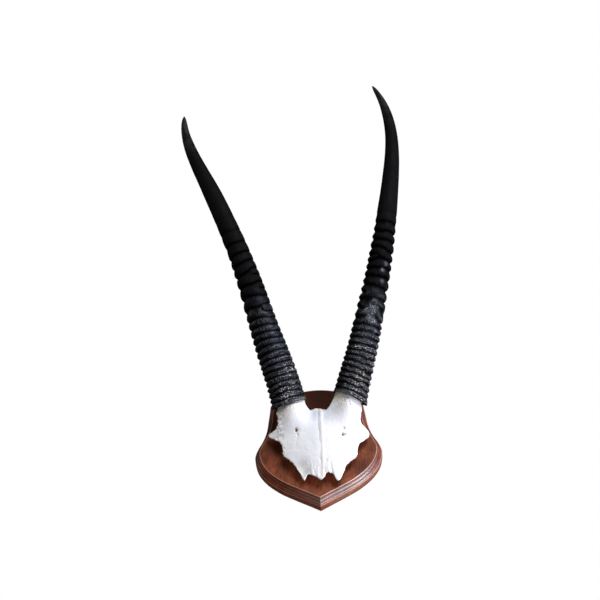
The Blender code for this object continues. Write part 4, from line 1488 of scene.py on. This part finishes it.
@dataclass
class Studio:
    """The camera at the photograph's angle, soft square lamps, a plain pale floor and white all round.

    The key shines from the front right, the side panel and the low lamp from the right, the fill
    from the left. Each lamp is a name, a place, a size, its watts and a colour.
    """

    pitch: float = 46.0
    yaw: float = 2.5
    roll: float = -1.7
    target: Place = (-0.0199, -0.0600, 0.2875)
    distance: float = 2.0
    lens: float = 69.36
    floor_height: float = -1.6
    floor_size: float = 12.0
    floor_colour: Colour = (0.66, 0.66, 0.66)
    fill: float = 0.07
    fill_colour: Colour = (0.88, 0.94, 1.0)
    lamps: tuple[tuple[str, Place, float, float, Colour], ...] = (
        ("key", (1.65, -3.45, 1.60), 2.2, 158.0, (1.0, 0.985, 0.965)),
        ("side_panel", (2.30, -1.00, -0.75), 3.2, 64.0, (0.54, 0.61, 1.0)),
        ("low_lamp", (2.05, 0.10, -1.25), 1.4, 60.0, (1.0, 0.93, 0.86)),
        ("left_fill", (-2.60, -0.70, 1.40), 1.5, 24.0, (1.0, 0.97, 0.93)),
    )

    def view_axes(self) -> tuple[Array, Array, Array]:
        """Find the camera's right, up and look directions from its pitch, yaw and roll."""
        pitch, yaw, roll = (math.radians(angle) for angle in (self.pitch, self.yaw, self.roll))
        look = np.array((-math.sin(yaw) * math.cos(pitch), math.cos(yaw) * math.cos(pitch), math.sin(pitch)))
        right = np.array((math.cos(yaw), math.sin(yaw), 0.0))
        up = np.cross(right, look)
        return (math.cos(roll) * right + math.sin(roll) * up,
                math.cos(roll) * up - math.sin(roll) * right, look)

    def camera(self) -> None:
        """Place the camera."""
        right, up, look = self.view_axes()
        data = bpy.data.cameras.new("camera")
        data.sensor_width = 36.0
        data.lens = self.lens
        camera = add_object("camera", data)
        turn = Matrix((right, up, -look)).transposed().to_4x4()
        camera.matrix_world = Matrix.Translation(Vector(self.target) - self.distance * Vector(look)) @ turn
        bpy.context.scene.camera = camera

    def light(self, name: str, place: Place, size: float, power: float, colour: Colour) -> None:
        """Add a square area light that faces the plaque."""
        data = bpy.data.lights.new(name, "AREA")
        data.size = size
        data.energy = power
        data.color = colour
        lamp = add_object(name, data)
        lamp.location = place
        lamp.rotation_euler = (Vector(self.target) - Vector(place)).to_track_quat("-Z", "Y").to_euler()

    def floor(self) -> None:
        """Lay the pale floor, far below the plaque."""
        half = self.floor_size / 2
        mesh = bpy.data.meshes.new("floor")
        mesh.from_pydata([(x * half, y * half, self.floor_height)
                          for x, y in ((-1, -1), (1, -1), (1, 1), (-1, 1))], [], [(0, 1, 2, 3)])
        material, sketch, shader = new_material("pale_floor")
        sketch.feed(shader, {"Base Color": self.floor_colour, "Roughness": 0.9})
        mesh.materials.append(material)
        add_object("floor", mesh)

    def sky(self) -> None:
        """Surround the plaque with soft light, seen as plain white behind it."""
        world = bpy.data.worlds.new("studio")
        bpy.context.scene.world = world
        world.use_nodes = True
        sketch = NodeSketch(world.node_tree)
        soft = world.node_tree.nodes["Background"]
        sketch.feed(soft, {"Color": self.fill_colour, "Strength": self.fill})
        white = sketch.node("Background", {"Color": (1.0, 1.0, 1.0), "Strength": 1.0})
        seen = sketch.node("LightPath").outputs["Is Camera Ray"]
        both = sketch.node("MixShader", {0: seen, 1: soft.outputs[0], 2: white.outputs[0]})
        sketch.feed(world.node_tree.nodes["World Output"], {"Surface": both.outputs[0]})

    def build(self) -> None:
        """Set up camera, lights, floor and surroundings."""
        bpy.context.scene.view_settings.view_transform = "Standard"
        self.camera()
        self.floor()
        self.sky()
        for lamp in self.lamps:
            self.light(*lamp)


LEFT_HORN = HornSheath(
    name="left_horn_sheath", node="horn_left", side=Side.LEFT, base=(-0.0424, -0.0555, 0.1693), length=0.573,
    splay=((0, 13), (0.06, 16), (0.12, 19), (0.18, 18), (0.25, 16.6), (0.34, 16), (0.44, 19), (0.54, 21.3),
           (0.64, 22.5), (0.76, 24.6), (0.84, 21.5), (0.90, 15.3), (0.95, 7), (1, -1)),
    diameter=((0, 0.0585), (0.14, 0.0544), (0.24, 0.0487), (0.34, 0.0445), (0.42, 0.0406), (0.51, 0.0369),
              (0.60, 0.0337), (0.69, 0.0310), (0.78, 0.0260), (0.87, 0.0206), (0.92, 0.0162),
              (0.96, 0.0124), (0.985, 0.0082), (1, 0.0016)),
    ring_counts=((0, 0), (0.053, 3.5), (0.139, 8.5), (0.220, 12.5), (0.270, 14.5), (0.380, 17.5),
                 (0.476, 20.5), (0.563, 22.5), (0.640, 24)),
    ring_relief=((0, 0.0018), (0.05, 0.0036), (0.20, 0.0042), (0.38, 0.0042), (0.46, 0.0030), (0.64, 0.0020)),
    fading=(0.42, 0.64), dulling=(0.23, 0.37), old_share=(0.08, 0.21),
    forks=((0.28, 100, -110), (0.345, 118, -95), (0.39, 104, -120)),
    forward_rim_tilt=10, side_rim_tilt=4, rim_arch=0.0015, inner_relief=-0.40, front_relief=0.0,
    crest_powers=(2.2, 3.0), crumple=0.03, unrest=((0.04, 0.05, 0.25),), burrs=(), polished_glints=(), crinkled=(),
    threads=2, scars=(), amber=(), seed=100,
)
RIGHT_HORN = HornSheath(
    name="right_horn_sheath", node="horn_right", side=Side.RIGHT, base=(0.0549, -0.0552, 0.1737),
    length=0.601,
    splay=((0, 16.5), (0.06, 20.5), (0.12, 20), (0.20, 16.5), (0.30, 16.5), (0.42, 13.5), (0.52, 11.5),
           (0.61, 10), (0.70, 8), (0.78, 2.5), (0.85, -5.5), (0.91, -13), (0.96, -22), (1, -26)),
    diameter=((0, 0.0580), (0.11, 0.0534), (0.20, 0.0501), (0.30, 0.0455), (0.37, 0.0424), (0.45, 0.0398),
              (0.52, 0.0357), (0.61, 0.0311), (0.69, 0.0276), (0.78, 0.0232), (0.87, 0.0185),
              (0.91, 0.0155), (0.96, 0.0104), (0.985, 0.0070), (1, 0.0016)),
    ring_counts=((0, 0), (0.055, 3.5), (0.134, 8.5), (0.209, 12.5), (0.262, 14.5), (0.327, 16.5),
                 (0.408, 19.5), (0.492, 22.5), (0.570, 25)),
    ring_relief=((0, 0.0018), (0.06, 0.0040), (0.22, 0.0048), (0.42, 0.0044), (0.57, 0.0030)),
    fading=(0.47, 0.57), dulling=(0.235, 0.35), forks=((0.29, 115, -110), (0.40, 100, -95)),
    forward_rim_tilt=4, side_rim_tilt=14, rim_arch=0.0044, inner_relief=-0.18, front_relief=-0.45,
    crest_powers=(2.0, 1.25), crumple=0.09,
    unrest=((0.24, 0.03, 0.60), (0.05, 0.06, 0.30)), burrs=((0.505, 0.0, 0.0020), (0.320, 5.0, 0.0014)),
    # Places of the shiny spots, each with a painted glint.
    polished_glints=((0.186, 42), (0.380, 50), (0.3585, 60), (0.3275, 54)),
    crinkled=((0.252, 55), (0.247, 75), (0.238, 95), (0.222, 78), (0.212, 60), (0.236, 62)),
    threads=3, scars=(13.4,), amber=((0.050, 58),), seed=200,
)


def main() -> None:
    """Build every piece and the studio round it."""
    logging.basicConfig(level=logging.INFO, format="%(message)s")
    effects = Effects()
    Studio().build()
    screws = (WoodScrew("lower_wood_screw", "screw_lower", 0.098),
              WoodScrew("upper_wood_screw", "screw_upper", 0.148))
    ShieldBoard().build(VarnishedWood().material(effects), screws)
    steel = ScrewSteel().material(effects)
    for screw in screws:
        screw.build(steel)
    horns = (LEFT_HORN, RIGHT_HORN)
    keratin = HornKeratin().material(effects)
    for horn in horns:
        horn.build(keratin)
    SkullPlate(horns).build(BleachedBone().material(effects))


if __name__ == "__main__":
    main()
